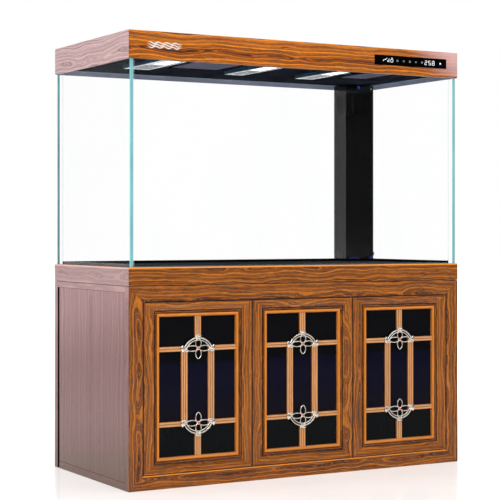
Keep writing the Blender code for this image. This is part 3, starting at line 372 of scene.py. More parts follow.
def piece(name, shells, finishes, body, replaces=(), bevel=0.0, segments=2, smooth=35, paint=None):
    """Makes one finished piece from its shells and lets it ride on a body of the frame.

    Paint takes the faces' normals and middles, and gives the number of each face's finish.
    """
    mesh = bpy.data.meshes.new(name)
    mesh.from_pydata(np.concatenate(shells.points).tolist(), [], shells.faces)
    form = bmesh.new()
    form.from_mesh(mesh)
    bmesh.ops.recalc_face_normals(form, faces=form.faces)
    form.to_mesh(mesh)
    form.free()
    place = mesh.attributes.new("wood_place", "FLOAT_VECTOR", "POINT")
    place.data.foreach_set("vector", np.concatenate(shells.places).astype(np.float32).ravel())
    tone = mesh.attributes.new("wood_tone", "FLOAT", "POINT")
    tone.data.foreach_set("value", np.concatenate(shells.tones).astype(np.float32))
    for label in finishes:
        mesh.materials.append(finish(label))
    if paint is not None:
        normals = np.empty(len(mesh.polygons) * 3)
        middles = np.empty(len(mesh.polygons) * 3)
        mesh.polygons.foreach_get("normal", normals)
        mesh.polygons.foreach_get("center", middles)
        numbers = paint(normals.reshape(-1, 3), middles.reshape(-1, 3))
        mesh.polygons.foreach_set("material_index", np.asarray(numbers, np.int32))
    mesh.shade_smooth()
    obj = bpy.data.objects.new(name, mesh)
    bpy.context.scene.collection.objects.link(obj)
    if bevel > 0:
        rounding = obj.modifiers.new("rounding", "BEVEL")
        rounding.width = bevel
        rounding.segments = segments
        rounding.limit_method = "ANGLE"
        rounding.angle_limit = math.radians(smooth)
        rounding.harden_normals = True
    else:
        mesh.set_sharp_from_angle(angle=math.radians(smooth))
    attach(obj, body)
    if replaces:
        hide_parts(*replaces)
    return obj


def refinish(node, label):
    """Gives a piece of the frame its finished material."""
    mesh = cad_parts[node].data
    mesh.materials.clear()
    mesh.materials.append(finish(label))


# ---------------------------------------------------------------- shader nodes


class Nodes:
    """Adds nodes to one tree. An input is a value or another node's output, by socket name or number."""

    def __init__(self, tree):
        self.tree = tree

    def add(self, kind, inputs=None, output=0, **settings):
        """One shader node: gives its output by name or number, or the node itself where output is None."""
        made = self.tree.nodes.new("ShaderNode" + kind)
        for key, value in settings.items():
            setattr(made, key, value)
        self.fill(made, inputs or {})
        return made if output is None else made.outputs[output]

    def fill(self, made, inputs):
        """Links or sets each of a node's inputs."""
        for key, value in inputs.items():
            if isinstance(value, bpy.types.NodeSocket):
                self.tree.links.new(value, made.inputs[key])
            else:
                made.inputs[key].default_value = value

    def math(self, operation, *values, clamp=False):
        """Arithmetic on numbers."""
        return self.add("Math", dict(enumerate(values)), operation=operation, use_clamp=clamp)

    def vector(self, operation, *values):
        """Arithmetic on vectors or colours."""
        return self.add("VectorMath", dict(enumerate(values)), operation=operation)

    def mix(self, factor, first, second):
        """Blends two colours by a factor."""
        first, second = ((*c, 1.0) if isinstance(c, tuple) else c for c in (first, second))
        return self.add("Mix", {0: factor, 6: first, 7: second}, output=2, data_type="RGBA")

    def step(self, value, low, high, start=0.0, end=1.0):
        """A smooth step from start to end as the value goes from low to high."""
        inputs = {"Value": value, "From Min": low, "From Max": high, "To Min": start, "To Max": end}
        return self.add("MapRange", inputs, interpolation_type="SMOOTHSTEP")

    def noise(self, vector, stretch, scale=1.0, detail=2.0, rough=0.5, output=0):
        """Noise in space, with a stretch for each axis."""
        placed = self.vector("MULTIPLY", vector, stretch)
        inputs = {"Vector": placed, "Scale": scale, "Detail": detail, "Roughness": rough}
        return self.add("TexNoise", inputs, output=output)

    def noise_along(self, value, detail=2.0, rough=0.5):
        """Noise along one number."""
        inputs = {"W": value, "Scale": 1.0, "Detail": detail, "Roughness": rough}
        return self.add("TexNoise", inputs, noise_dimensions="1D")

    def object_place(self):
        """The place on the object, in metres."""
        return self.add("TexCoord", output="Object")

    def attribute(self, name, output):
        """A value that the mesh carries at its points."""
        return self.add("Attribute", output=output, attribute_name=name)

    def group(self, builder, inputs):
        """Places a shader group, which its builder makes the first time, and gives its outputs."""
        made = self.tree.nodes.new("ShaderNodeGroup")
        made.node_tree = bpy.data.node_groups.get(builder.__name__) or builder()
        self.fill(made, inputs)
        return made.outputs


def new_group(name, inputs, outputs):
    """An empty shader group with named sockets: (tree, its input sockets, its output sockets)."""
    tree = bpy.data.node_groups.new(name, "ShaderNodeTree")
    for label, kind, default in inputs:
        socket = tree.interface.new_socket(name=label, in_out="INPUT", socket_type="NodeSocket" + kind)
        socket.default_value = default
    for label, kind in outputs:
        tree.interface.new_socket(name=label, in_out="OUTPUT", socket_type="NodeSocket" + kind)
    begin = tree.nodes.new("NodeGroupInput")
    end = tree.nodes.new("NodeGroupOutput")
    return tree, begin.outputs, end.inputs


def wood_figure():
    """Veins, fibre and pores of a veneer that was cut near the middle of a log.

    The distance from the log's middle is the root of across squared plus depth squared. The depth swings
    slowly along the board, which makes pointed arches and eyes. Noise along that distance gives rings of
    uneven width, and its peaks are the dark veins.
    """
    tree, given, result = new_group(
        "wood_figure",
        [
            ("Place", "Vector", (0, 0, 0)),
            ("Tone", "Float", 0.0),
            ("Light", "Color", (0.5, 0.2, 0.05, 1)),
            ("Middle", "Color", (0.3, 0.1, 0.02, 1)),
            ("Vein", "Color", (0.05, 0.02, 0.01, 1)),
            ("Ring Width", "Float", 0.005),
            ("Swing", "Float", 0.06),
            ("Wander", "Float", 0.075),
            ("Vein Level", "Float", 0.50),
            ("Vein Strength", "Float", 0.9),
            ("Fibre", "Float", 0.35),
        ],
        [("Color", "Color"), ("Height", "Float"), ("Roughness", "Float")],
    )
    make = Nodes(tree)
    # The log's middle drifts slowly along the board, and a fine tremor roughens the rings.
    drift = make.noise(given["Place"], (4.5, 9.0, 9.0), detail=1.0, output=1)
    drift = make.vector("SUBTRACT", drift, (0.5, 0.5, 0.5))
    drift = make.add("VectorMath", {0: drift, "Scale": given["Wander"]}, operation="SCALE")
    tremor = make.noise(given["Place"], (22.0, 70.0, 70.0), detail=2.0, output=1)
    tremor = make.vector("MULTIPLY", make.vector("SUBTRACT", tremor, (0.5, 0.5, 0.5)), (0, 0.007, 0.007))
    drift = make.vector("ADD", make.vector("MULTIPLY", drift, (0, 1, 1)), tremor)
    placed = make.vector("ADD", given["Place"], drift)
    parts = make.add("SeparateXYZ", {0: placed}, output=None).outputs
    # The distance from the log's middle, counted in rings.
    swing = make.noise_along(make.math("MULTIPLY", parts[0], 4.3), detail=1.5)
    swing = make.math("MULTIPLY", make.math("SUBTRACT", swing, 0.5), given["Swing"])
    depth = make.math("ADD", parts[2], swing)
    squares = make.math("ADD", make.math("MULTIPLY", parts[1], parts[1]), make.math("MULTIPLY", depth, depth))
    ring = make.math("DIVIDE", make.math("SQRT", squares), given["Ring Width"])
    # Broad dark veins that fade in patches, and thin lines between them.
    peaks = make.noise_along(ring, detail=3.6, rough=0.62)
    vein = make.step(peaks, given["Vein Level"], make.math("ADD", given["Vein Level"], 0.09))
    patches = make.noise(placed, (4.0, 32.0, 32.0), detail=1.5)
    vein = make.math("MULTIPLY", vein, make.step(patches, 0.34, 0.60, 0.45, 1.0))
    lines = make.noise_along(make.math("MULTIPLY", ring, 2.1), detail=1.0)
    lines = make.math("MULTIPLY", make.step(lines, 0.55, 0.60), make.step(peaks, 0.38, 0.50, 0.15, 0.75))
    vein = make.math("MULTIPLY", make.math("MAXIMUM", vein, lines), given["Vein Strength"])
    # Bands of the two woods, then dark and pale fibre, pores and veins over them.
    band = make.step(make.noise_along(make.math("MULTIPLY", ring, 0.45), detail=1.5), 0.36, 0.64)
    fibre = make.noise(placed, (7.0, 420.0, 420.0), detail=3.0, rough=0.6)
    pore = make.step(make.noise(placed, (55.0, 1500.0, 1500.0), detail=1.0), 0.62, 0.72)
    shade = make.mix(band, given["Light"], given["Middle"])
    shade = make.mix(make.step(fibre, 0.42, 0.72, 0.0, given["Fibre"]), shade, given["Vein"])
    pale = make.math("MULTIPLY", given["Fibre"], 0.6)
    shade = make.mix(make.step(fibre, 0.58, 0.30, 0.0, pale), shade, given["Light"])
    shade = make.mix(make.math("MULTIPLY", pore, 0.35), shade, given["Vein"])
    shade = make.mix(vein, shade, given["Vein"])
    # A tone above 0 paints a highlight where an edge would catch the light, and one below 0 paints shade in a
    # hollow.
    painted_highlight = make.math("MULTIPLY", make.math("MAXIMUM", given["Tone"], 0.0), 0.85, clamp=True)
    below = make.math("MULTIPLY", given["Tone"], -1.0)
    sunk = make.math("MULTIPLY", make.math("MAXIMUM", below, 0.0), 0.85, clamp=True)
    shade = make.mix(painted_highlight, shade, make.vector("MULTIPLY", given["Light"], (1.5, 1.6, 1.8)))
    shade = make.mix(sunk, shade, make.add("Gamma", {"Color": given["Vein"], "Gamma": 1.15}))
    tree.links.new(shade, result["Color"])
    height = make.math("SUBTRACT", make.math("MULTIPLY", fibre, 0.5), pore)
    tree.links.new(height, result["Height"])
    tree.links.new(make.step(fibre, 0.3, 0.7, 0.26, 0.40), result["Roughness"])
    return tree


def edge_wear():
    """A mask of sharp outer edges, for wear and for a painted highlight: how far the normal of a rounded edge
    leans from the face's own.
    """
    tree, given, result = new_group(
        "edge_wear", [("Radius", "Float", 0.002), ("Place", "Vector", (0, 0, 0))], [("Mask", "Float")]
    )
    make = Nodes(tree)
    rounded = make.add("Bevel", {"Radius": given["Radius"]}, samples=4)
    plain = make.add("NewGeometry", output="Normal")
    agree = make.add("VectorMath", {0: rounded, 1: plain}, output=1, operation="DOT_PRODUCT")
    lean = make.math("SUBTRACT", 1.0, agree)
    patches = make.noise(given["Place"], (60.0, 60.0, 60.0), detail=3.0)
    worn = make.math("MULTIPLY", make.step(lean, 0.01, 0.12), make.step(patches, 0.35, 0.65))
    tree.links.new(worn, result["Mask"])
    return tree


def settled_dust():
    """A mask of dust: uneven, and only on faces that look up."""
    tree, given, result = new_group(
        "settled_dust", [("Place", "Vector", (0, 0, 0)), ("Amount", "Float", 0.3)], [("Mask", "Float")]
    )
    make = Nodes(tree)
    up = make.add("SeparateXYZ", {0: make.add("NewGeometry", output="Normal")}, output="Z")
    cloud = make.step(make.noise(given["Place"], (9.0, 9.0, 9.0), detail=5.0, rough=0.65), 0.30, 0.75)
    mask = make.math("MULTIPLY", make.math("MULTIPLY", make.step(up, 0.5, 0.95), cloud), given["Amount"])
    tree.links.new(mask, result["Mask"])
    return tree


def smudges():
    """Faint wipe marks and finger smudges, as a roughness that wanders between two values."""
    tree, given, result = new_group(
        "smudges",
        [("Place", "Vector", (0, 0, 0)), ("Clean", "Float", 0.05), ("Smudged", "Float", 0.2)],
        [("Roughness", "Float"), ("Mask", "Float")],
    )
    make = Nodes(tree)
    cloud = make.noise(given["Place"], (7.0, 7.0, 3.0), detail=4.0, rough=0.6)
    streak = make.noise(given["Place"], (90.0, 90.0, 4.0), detail=2.0)
    mask = make.math("MULTIPLY", make.step(cloud, 0.42, 0.70), make.step(streak, 0.35, 0.65, 0.5, 1.0))
    spread = make.math("SUBTRACT", given["Smudged"], given["Clean"])
    tree.links.new(make.math("ADD", given["Clean"], make.math("MULTIPLY", mask, spread)), result["Roughness"])
    tree.links.new(mask, result["Mask"])
    return tree


def new_finish(name, fixed):
    """A material with a Principled shader, as its node maker, the shader and the material.

    Fixed values are set on the shader's own sockets.
    """
    material = bpy.data.materials.new(name)
    material.use_nodes = True
    tree = material.node_tree
    shader = tree.nodes["Principled BSDF"]
    for key, value in fixed.items():
        shader.inputs[key].default_value = value
    return Nodes(tree), shader, material


def feed(make, shader, **values):
    """Links values to the shader's sockets. Words are joined with an underscore."""
    for key, value in values.items():
        make.tree.links.new(value, shader.inputs[key.replace("_", " ").title().replace("Ior", "IOR")])


def relief(make, shader, height, strength, distance=0.001):
    """Feeds the shader's normal from a height."""
    bump = make.add("Bump", {"Strength": strength, "Distance": distance, "Height": height})
    make.tree.links.new(bump, shader.inputs["Normal"])


# ---------------------------------------------------------------- finishes


def veneer(
    name, family, ring=1.0, swing=0.06, level=0.50, strength=0.9, fibre=0.45, wander=0.045, grain=None,
    shade=None,
):
    """Lacquered veneer in the light, middle and vein colours of one family of the settings.

    A piece brings its own wood places, and a piece of the frame names its grain's axes. Ring scales the
    width of the rings, and shade may tint the wood by its place.
    """
    lacquer = {"Coat Weight": 0.35, "Coat Roughness": 0.08, "Specular IOR Level": 0.25}
    make, shader, material = new_finish(name, lacquer)
    parts = ("light", "middle", "vein")
    light, middle, vein = (tuple(getattr(wood(), f"{family}_{part}")) for part in parts)
    if grain is None:
        place = make.attribute("wood_place", "Vector")
        tone = make.attribute("wood_tone", "Fac")
    else:
        parts = make.add("SeparateXYZ", {0: make.object_place()}, output=None).outputs
        along, across, into = (parts["xyz".index(letter)] for letter in grain)
        place = make.add("CombineXYZ", {"X": along, "Y": across, "Z": into})
        tone = 0.0
    figure = make.group(
        wood_figure,
        {
            "Place": place,
            "Tone": tone,
            "Light": (*light, 1),
            "Middle": (*middle, 1),
            "Vein": (*vein, 1),
            "Ring Width": wood().ring_width * ring,
            "Swing": swing,
            "Wander": wander,
            "Vein Level": level,
            "Vein Strength": strength,
            "Fibre": fibre,
        },
    )
    spot = make.object_place()
    wear_and_highlight = make.group(edge_wear, {"Radius": 0.002, "Place": spot})["Mask"]
    dust = make.group(settled_dust, {"Place": spot, "Amount": 0.12})["Mask"]
    base = figure["Color"] if shade is None else shade(make, figure["Color"], spot)
    # Paler edges: partly wear of the lacquer, partly a painted highlight.
    tint = make.mix(make.math("MULTIPLY", wear_and_highlight, 0.35), base, light)
    tint = make.mix(dust, tint, (0.62, 0.58, 0.55))
    rough = make.math("ADD", figure["Roughness"], make.math("MULTIPLY", dust, 0.5))
    feed(make, shader, base_color=tint, roughness=rough)
    relief(make, shader, figure["Height"], 0.06)
    return material


def lower_tint(make, tint, spot):
    """Paints light and shade on a side along slanting lines: brighter near its top, darker towards the floor,
    and a brown painted reflection of the floor at its foot.
    """
    parts = make.add("SeparateXYZ", {0: spot}, output=None).outputs
    level = make.math("ADD", parts[2], make.math("MULTIPLY", parts[1], 0.16))
    upper = make.mix(make.step(level, 0.74, 0.42), (1.24, 1.29, 1.32), (0.74, 0.66, 0.64))
    lower = make.mix(make.step(level, 0.26, 0.08), upper, (0.60, 0.50, 0.42))
    tint = make.vector("MULTIPLY", tint, lower)
    painted_floor_reflection = make.mix(0.35, tint, (0.120, 0.075, 0.036))
    return make.mix(make.step(level, 0.115, 0.085), tint, painted_floor_reflection)


def pale_end(make, tint, spot):
    """Paints a pale pink highlight on the canopy's front, growing towards its right end, above the orange
    lower edge.
    """
    low, high = span("canopy_shell")
    parts = make.add("SeparateXYZ", {0: spot}, output=None).outputs
    lean = make.math("MULTIPLY", make.math("SUBTRACT", parts[2], high[2] - 0.050), 1.2)
    level = make.math("ADD", parts[0], lean)
    above = make.step(parts[2], low[2] + 0.005, low[2] + 0.009)
    face = make.math("MULTIPLY", above, make.step(parts[1], low[1] + 0.015, low[1] + 0.005))
    factor = make.math("MULTIPLY", make.step(level, high[0] - 0.230, high[0] + 0.050, 0.0, 0.85), face)
    return make.mix(factor, tint, (0.80, 0.50, 0.50))


def front_veneer():
    """Streaked brown wood of the cabinet's front."""
    return veneer(
        "front_veneer", "front", ring=0.72, swing=0.05, level=0.49, strength=0.95, fibre=0.7, wander=0.036
    )


def canopy_veneer():
    """Orange wood of the canopy, with long straight streaks and a painted highlight at its right end."""
    return veneer(
        "canopy_veneer", "canopy", ring=0.85, swing=0.03, level=0.49, strength=0.97, wander=0.030,
        shade=pale_end,
    )


def side_veneer():
    """Lilac wood of the cabinet's sides, the lilac partly a painted reflection, with painted shade that grows
    darker and browner towards the floor.
    """
    return veneer(
        "side_veneer", "side", ring=1.5, swing=0.05, level=0.50, strength=0.50, fibre=0.25, shade=lower_tint
    )


def rail_veneer():
    """Paler wood of the side's top rail and of the band's ends, its pink partly a painted reflection."""
    return veneer("rail_veneer", "rail", ring=1.1, swing=0.02, level=0.53, strength=0.55, fibre=0.25)


def canopy_side_veneer():
    """Pale pink wood of the canopy's ends, its pink partly a painted reflection."""
    return veneer(
        "canopy_side_veneer", "top_side", ring=0.8, swing=0.04, level=0.49, strength=0.80, fibre=0.25,
        wander=0.035,
    )


def bar_wood():
    """Light wood of the door bars."""
    return veneer("bar_wood", "bar", ring=0.9, swing=0.02, level=0.54, strength=0.6, fibre=0.5)


def inner_wood():
    """Plainer wood inside the cabinet."""
    return veneer("inner_wood", "front", level=0.56, strength=0.7, grain="zxy")


def carcass_board():
    """Matt structural board: flakes of two browns with a few dark chips."""
    make, shader, material = new_finish("carcass_board", {"Specular IOR Level": 0.3})
    spot = make.object_place()
    stretched = make.vector("MULTIPLY", spot, (90, 180, 180))
    flakes = make.add("TexVoronoi", {"Vector": stretched, "Scale": 1.0}, output=1)
    tint = make.add("SeparateXYZ", {0: flakes}, output="X")
    shade = make.mix(tint, (0.30, 0.185, 0.105), (0.45, 0.30, 0.18))
    grain = make.noise(spot, (20, 300, 300), detail=3.0)
    shade = make.mix(make.step(grain, 0.5, 0.75, 0.0, 0.5), shade, (0.16, 0.09, 0.05))
    dust = make.group(settled_dust, {"Place": spot, "Amount": 0.25})["Mask"]
    shade = make.mix(dust, shade, (0.5, 0.46, 0.42))
    feed(make, shader, base_color=shade, roughness=make.step(grain, 0.3, 0.7, 0.55, 0.75))
    relief(make, shader, grain, 0.15)
    return material


MATT = {"Specular IOR Level": 0.0}


def painted(name, base, patch, rough=(0.35, 0.5), bump=0.05, glow=0.0, fixed=None):
    """Sprayed paint or moulded plastic: a faint cloud of a second colour over a fine orange-peel texture.

    A little glow stands in for the lamp light that soaks into a piece.
    """
    make, shader, material = new_finish(name, {"Emission Strength": glow, **(fixed or {})})
    spot = make.object_place()
    cloud = make.noise(spot, (6, 6, 6), detail=4.0, rough=0.6)
    peel = make.noise(spot, (650, 650, 650), detail=2.0)
    shade = make.mix(make.step(cloud, 0.35, 0.68), base, patch)
    wear_and_highlight = make.group(edge_wear, {"Radius": 0.0012, "Place": spot})["Mask"]
    dust = make.group(settled_dust, {"Place": spot, "Amount": 0.15})["Mask"]
    lighter = tuple(min(1.0, 1.6 * c + 0.02) for c in base)
    # Lighter edges: partly wear, partly a painted highlight.
    shade = make.mix(make.math("MULTIPLY", wear_and_highlight, 0.5), shade, lighter)
    shade = make.mix(dust, shade, (0.35, 0.34, 0.33))
    smear = make.group(smudges, {"Place": spot, "Clean": rough[0], "Smudged": rough[1]})
    feed(make, shader, base_color=shade, emission_color=shade, roughness=smear["Roughness"])
    relief(make, shader, peel, bump, 0.0004)
    return material


def slate_paint():
    """Slate grey paint inside the canopy's walls, with a painted glow that stands in for the light under the
    canopy.
    """
    return painted(
        "slate_paint", (0.090, 0.095, 0.130), (0.120, 0.125, 0.165), (0.6, 0.8), glow=0.8, fixed=MATT
    )


def ceiling_black():
    """Blue-black paint of the canopy's ceiling."""
    return painted("ceiling_black", (0.012, 0.013, 0.019), (0.018, 0.020, 0.029), (0.6, 0.8), fixed=MATT)


def black_acrylic():
    """Polished black sheet."""
    fixed = {"Specular IOR Level": 0.35, "Coat Weight": 0.15, "Coat Roughness": 0.03}
    return painted(
        "black_acrylic", (0.0045, 0.0045, 0.0048), (0.0075, 0.0075, 0.0080), (0.10, 0.22), 0.02, fixed=fixed
    )


def column_side():
    """The same black sheet with painted shade: darker and a little duller on the column's left."""
    fixed = {"Specular IOR Level": 0.3, "Coat Weight": 0.1, "Coat Roughness": 0.03}
    return painted(
        "column_side", (0.0040, 0.0040, 0.0042), (0.0050, 0.0050, 0.0052), (0.14, 0.26), 0.02, fixed=fixed
    )


def slot_black():
    """Painted shade: a matt black that stands for the dark in a deep slot."""
    return painted("slot_black", (0.0025, 0.0022, 0.0022), (0.0035, 0.0030, 0.0030), (0.7, 0.9), fixed=MATT)


def moulded_black():
    """Grained black plastic."""
    return painted("moulded_black", (0.016, 0.016, 0.018), (0.024, 0.024, 0.026), (0.38, 0.55), 0.12)


def grey_pvc():
    """Grey pipe plastic."""
    return painted("grey_pvc", (0.20, 0.21, 0.23), (0.26, 0.27, 0.29), (0.35, 0.5), 0.06)


def white_pvc():
    """White pipe plastic."""
    return painted("white_pvc", (0.74, 0.75, 0.76), (0.66, 0.68, 0.70), (0.30, 0.45), 0.06)


def blue_plastic():
    """Blue plastic of the nozzle and the foot clips."""
    tint = tuple(glass().blue)
    return painted("blue_plastic", tint, tuple(c * 0.7 for c in tint), (0.25, 0.4), 0.05)


def lamp_frame():
    """Blue-grey enamel of the lamps."""
    fixed = {"Specular IOR Level": 0.1}
    return painted("lamp_frame", (0.030, 0.066, 0.100), (0.018, 0.040, 0.066), (0.15, 0.3), 0.03, fixed=fixed)


def lamp_shade():
    """Milky diffuser that glows, a little stronger along its rows of diodes."""
    make, shader, material = new_finish("lamp_shade", {"Roughness": 0.35, "Emission Strength": 1.0})
    spot = make.object_place()
    parts = make.add("SeparateXYZ", {0: spot}, output=None).outputs
    rows = make.math("SINE", make.math("MULTIPLY", parts[1], 210.0))
    glow = make.mix(make.step(rows, -1.0, 1.0), (0.86, 0.90, 0.94), (1.0, 1.0, 1.0))
    feed(make, shader, base_color=glow, emission_color=glow)
    return material


def tank_floor():
    """Black bottom of the tank with painted reflections: pale streaks along it, and a painted glow that
    lights it where little light reaches.
    """
    make, shader, material = new_finish("tank_floor", {"Specular IOR Level": 0.0, "Emission Strength": 0.35})
    spot = make.object_place()
    streak = make.noise(spot, (1.2, 26.0, 1.0), detail=3.5, rough=0.6)
    cloud = make.noise(spot, (2.5, 9.0, 1.0), detail=2.0)
    # The paler streaks are painted reflections.
    shade = make.mix(make.step(streak, 0.36, 0.66), (0.006, 0.008, 0.010), (0.085, 0.098, 0.104))
    shade = make.mix(make.step(cloud, 0.40, 0.75, 0.0, 0.6), shade, (0.012, 0.015, 0.020))
    smear = make.group(smudges, {"Place": spot, "Clean": 0.35, "Smudged": 0.6})
    feed(make, shader, base_color=shade, emission_color=shade, roughness=smear["Roughness"])
    return material


def tinted_pane():
    """Dark tinted door pane with painted reflections: near black at its ends, navy with a violet foot between
    them, with soft upright streaks.
    """
    make, shader, material = new_finish(
        "tinted_pane", {"Specular IOR Level": 0.08, "Coat Weight": 0.03, "Coat Roughness": 0.02}
    )
    pane = pane_shown("left")
    lower, upper = pane[2] + CROSS_BAR, pane[3] - CROSS_BAR
    spot = make.object_place()
    height = make.add("SeparateXYZ", {0: spot}, output="Z")
    wave = make.noise(spot, (5.0, 1.0, 2.0), detail=1.0)
    level = make.math("ADD", height, make.math("MULTIPLY", make.math("SUBTRACT", wave, 0.5), 0.03))
    navy = tuple(glass().pane_navy)
    # The navy, violet and paler bands and the streaks are painted reflections on the dark glass.
    shade = make.mix(make.step(level, upper - 0.0595, upper - 0.0395), navy, (0.0010, 0.0014, 0.0020))
    shade = make.mix(make.step(level, upper - 0.1145, lower + 0.0045), shade, (0.0034, 0.0022, 0.0070))
    shade = make.mix(make.step(level, lower - 0.0005, lower - 0.0105), shade, (0.0020, 0.0028, 0.0032))
    shade = make.mix(make.step(level, upper + 0.0055, upper + 0.0255), shade, (0.0026, 0.0025, 0.0034))
    streak = make.noise(spot, (140.0, 1.0, 1.5), detail=2.0)
    shade = make.mix(make.step(streak, 0.5, 0.8, 0.0, 0.30), shade, (0.006, 0.006, 0.018))
    smear = make.group(smudges, {"Place": spot, "Clean": 0.03, "Smudged": 0.10})
    feed(make, shader, base_color=shade, roughness=smear["Roughness"])
    return material


def float_glass():
    """Clear float glass with the faintest wipe marks."""
    fixed = {"Transmission Weight": 1.0, "IOR": 1.07, "Specular IOR Level": 0.5, "Metallic": 0.0}
    make, shader, material = new_finish("float_glass", fixed)
    spot = make.object_place()
    smear = make.group(smudges, {"Place": spot, "Clean": 0.0, "Smudged": 0.004})
    shade = make.mix(smear["Mask"], (1.0, 1.0, 1.0), (0.985, 0.995, 0.993))
    feed(make, shader, base_color=shade, roughness=smear["Roughness"])
    return material


def glass_edge(name, tint):
    """Polished edge of float glass in the sheet's own colour, with a painted glow where the light gathers in
    it.
    """
    fixed = {"Coat Weight": 0.4, "Coat Roughness": 0.04, "Emission Strength": 0.10}
    make, shader, material = new_finish(name, fixed)
    spot = make.object_place()
    cloud = make.noise(spot, (30, 30, 5), detail=3.0)
    shade = make.mix(make.step(cloud, 0.35, 0.7), tuple(tint), tuple(c * 0.86 for c in tint))
    smear = make.group(smudges, {"Place": spot, "Clean": 0.08, "Smudged": 0.2})
    feed(make, shader, base_color=shade, roughness=smear["Roughness"], emission_color=shade)
    return material


def edge_bright():
    """The painted highlight along the borders of a glass edge."""
    return glass_edge("edge_bright", glass().edge_bright)


def edge_core():
    """The darker middle of a glass edge."""
    return glass_edge("edge_core", glass().edge_core)


def silicone():
    """Clear sealant, a little cloudy."""
    make, shader, material = new_finish("silicone", {"Alpha": 0.10, "Specular IOR Level": 0.2})
    cloud = make.noise(make.object_place(), (40, 40, 12), detail=3.0)
    feed(
        make,
        shader,
        base_color=make.mix(make.step(cloud, 0.3, 0.7), (0.93, 0.98, 0.98), (0.82, 0.92, 0.92)),
        roughness=make.step(cloud, 0.3, 0.7, 0.15, 0.35),
    )
    return material


def panel_glass():
    """Black glass of the control panel."""
    fixed = {"Specular IOR Level": 0.08}
    return painted(
        "panel_glass", (0.0012, 0.0012, 0.0014), (0.0020, 0.0020, 0.0024), (0.04, 0.12), 0.01, fixed=fixed
    )


def lit_print(name, strength, dark, bright):
    """Print that is lit from behind, uneven as diodes behind a mask are."""
    make, shader, material = new_finish(name, {"Roughness": 0.5, "Emission Strength": strength})
    cloud = make.noise(make.object_place(), (220, 220, 220), detail=2.0)
    glow = make.mix(make.step(cloud, 0.3, 0.7), dark, bright)
    feed(make, shader, base_color=glow, emission_color=glow)
    return material


def lit_mark():
    """White lit digits and symbols."""
    return lit_print("lit_mark", 0.75, (0.70, 0.74, 0.80), (1.0, 1.0, 1.0))


def dim_mark():
    """Grey symbols that are barely lit."""
    return lit_print("dim_mark", 0.25, (0.22, 0.24, 0.28), (0.38, 0.40, 0.44))


def metal(name, bright, dark, rough=(0.22, 0.42), pattern=(90, 90, 90), **fixed):
    """Metal with tarnish in its hollows: two tones by a fine cloud, and brighter along its edges, partly
    rubbed and partly a painted highlight.
    """
    make, shader, material = new_finish(name, {"Metallic": 1.0, **fixed})
    spot = make.object_place()
    cloud = make.noise(spot, pattern, detail=4.0, rough=0.65)
    hollow = make.math("SUBTRACT", 0.0, make.attribute("wood_tone", "Fac"), clamp=True)
    shade = make.mix(make.step(cloud, 0.42, 0.70), bright, dark)
    shade = make.mix(hollow, shade, tuple(c * 0.25 for c in dark))
    wear_and_highlight = make.group(edge_wear, {"Radius": 0.0008, "Place": spot})["Mask"]
    shade = make.mix(wear_and_highlight, shade, tuple(min(1.0, c * 1.25) for c in bright))
    feed(make, shader, base_color=shade, roughness=make.step(cloud, 0.3, 0.7, *rough))
    relief(make, shader, cloud, 0.15, 0.0004)
    return material


def cast_metal():
    """Cast white metal of the door ornaments."""
    return metal("cast_metal", (0.95, 0.89, 0.80), (0.50, 0.42, 0.32), (0.16, 0.34))


def badge_silver():
    """Pale satin metal of the badge."""
    return metal("badge_silver", (0.92, 0.86, 0.78), (0.80, 0.74, 0.66), (0.25, 0.4), Metallic=0.25)


def brushed_steel():
    """Steel of the pins, brushed along their length."""
    return metal(
        "brushed_steel", (0.62, 0.62, 0.64), (0.42, 0.42, 0.44), (0.25, 0.4), (300, 300, 12), Anisotropic=0.4
    )


def red_stone():
    """Polished red stone with a lighter heart, and a faint painted glow."""
    fixed = {"Roughness": 0.06, "Coat Weight": 1.0, "Coat Roughness": 0.02, "Emission Strength": 0.25}
    make, shader, material = new_finish("red_stone", fixed)
    tint = tuple(glass().stone_red)
    cloud = make.noise(make.object_place(), (260, 260, 260), detail=3.0)
    lighter = tuple(min(1.0, c * 1.3 + 0.03) for c in tint)
    shade = make.mix(make.step(cloud, 0.35, 0.7), tint, lighter)
    feed(make, shader, base_color=shade, emission_color=shade)
    return material


def black_foam():
    """Closed-cell foam: small rounded cells and a dull skin."""
    make, shader, material = new_finish("black_foam", {"Specular IOR Level": 0.2})
    spot = make.vector("MULTIPLY", make.object_place(), (900, 900, 900))
    cells = make.add("TexVoronoi", {"Vector": spot, "Scale": 1.0})
    shade = make.mix(make.step(cells, 0.1, 0.7), (0.030, 0.030, 0.032), (0.055, 0.055, 0.058))
    feed(make, shader, base_color=shade, roughness=make.step(cells, 0.0, 0.8, 0.75, 0.95))
    relief(make, shader, cells, 0.4, 0.0005)
    return material


def studio_floor():
    """Pale satin floor with a soft sheen."""
    make, shader, material = new_finish("studio_floor", {"Specular IOR Level": 0.45})
    cloud = make.noise(make.object_place(), (1.5, 1.5, 1.5), detail=4.0)
    away = make.add("VectorMath", {0: make.object_place()}, output="Value", operation="LENGTH")
    rays = make.add("LightPath", output=None).outputs
    seen = make.math("MAXIMUM", rays["Is Camera Ray"], rays["Is Transmission Ray"])
    lift = make.math("MULTIPLY", make.step(away, 1.2, 3.5, 0.38, 1.0), seen)
    feed(
        make,
        shader,
        base_color=make.mix(make.step(cloud, 0.3, 0.7), (0.86, 0.85, 0.84), (0.90, 0.89, 0.885)),
        roughness=make.step(cloud, 0.3, 0.7, 0.12, 0.18),
        emission_strength=lift,
    )
    shader.inputs["Emission Color"].default_value = (1, 1, 1, 1)
    return material


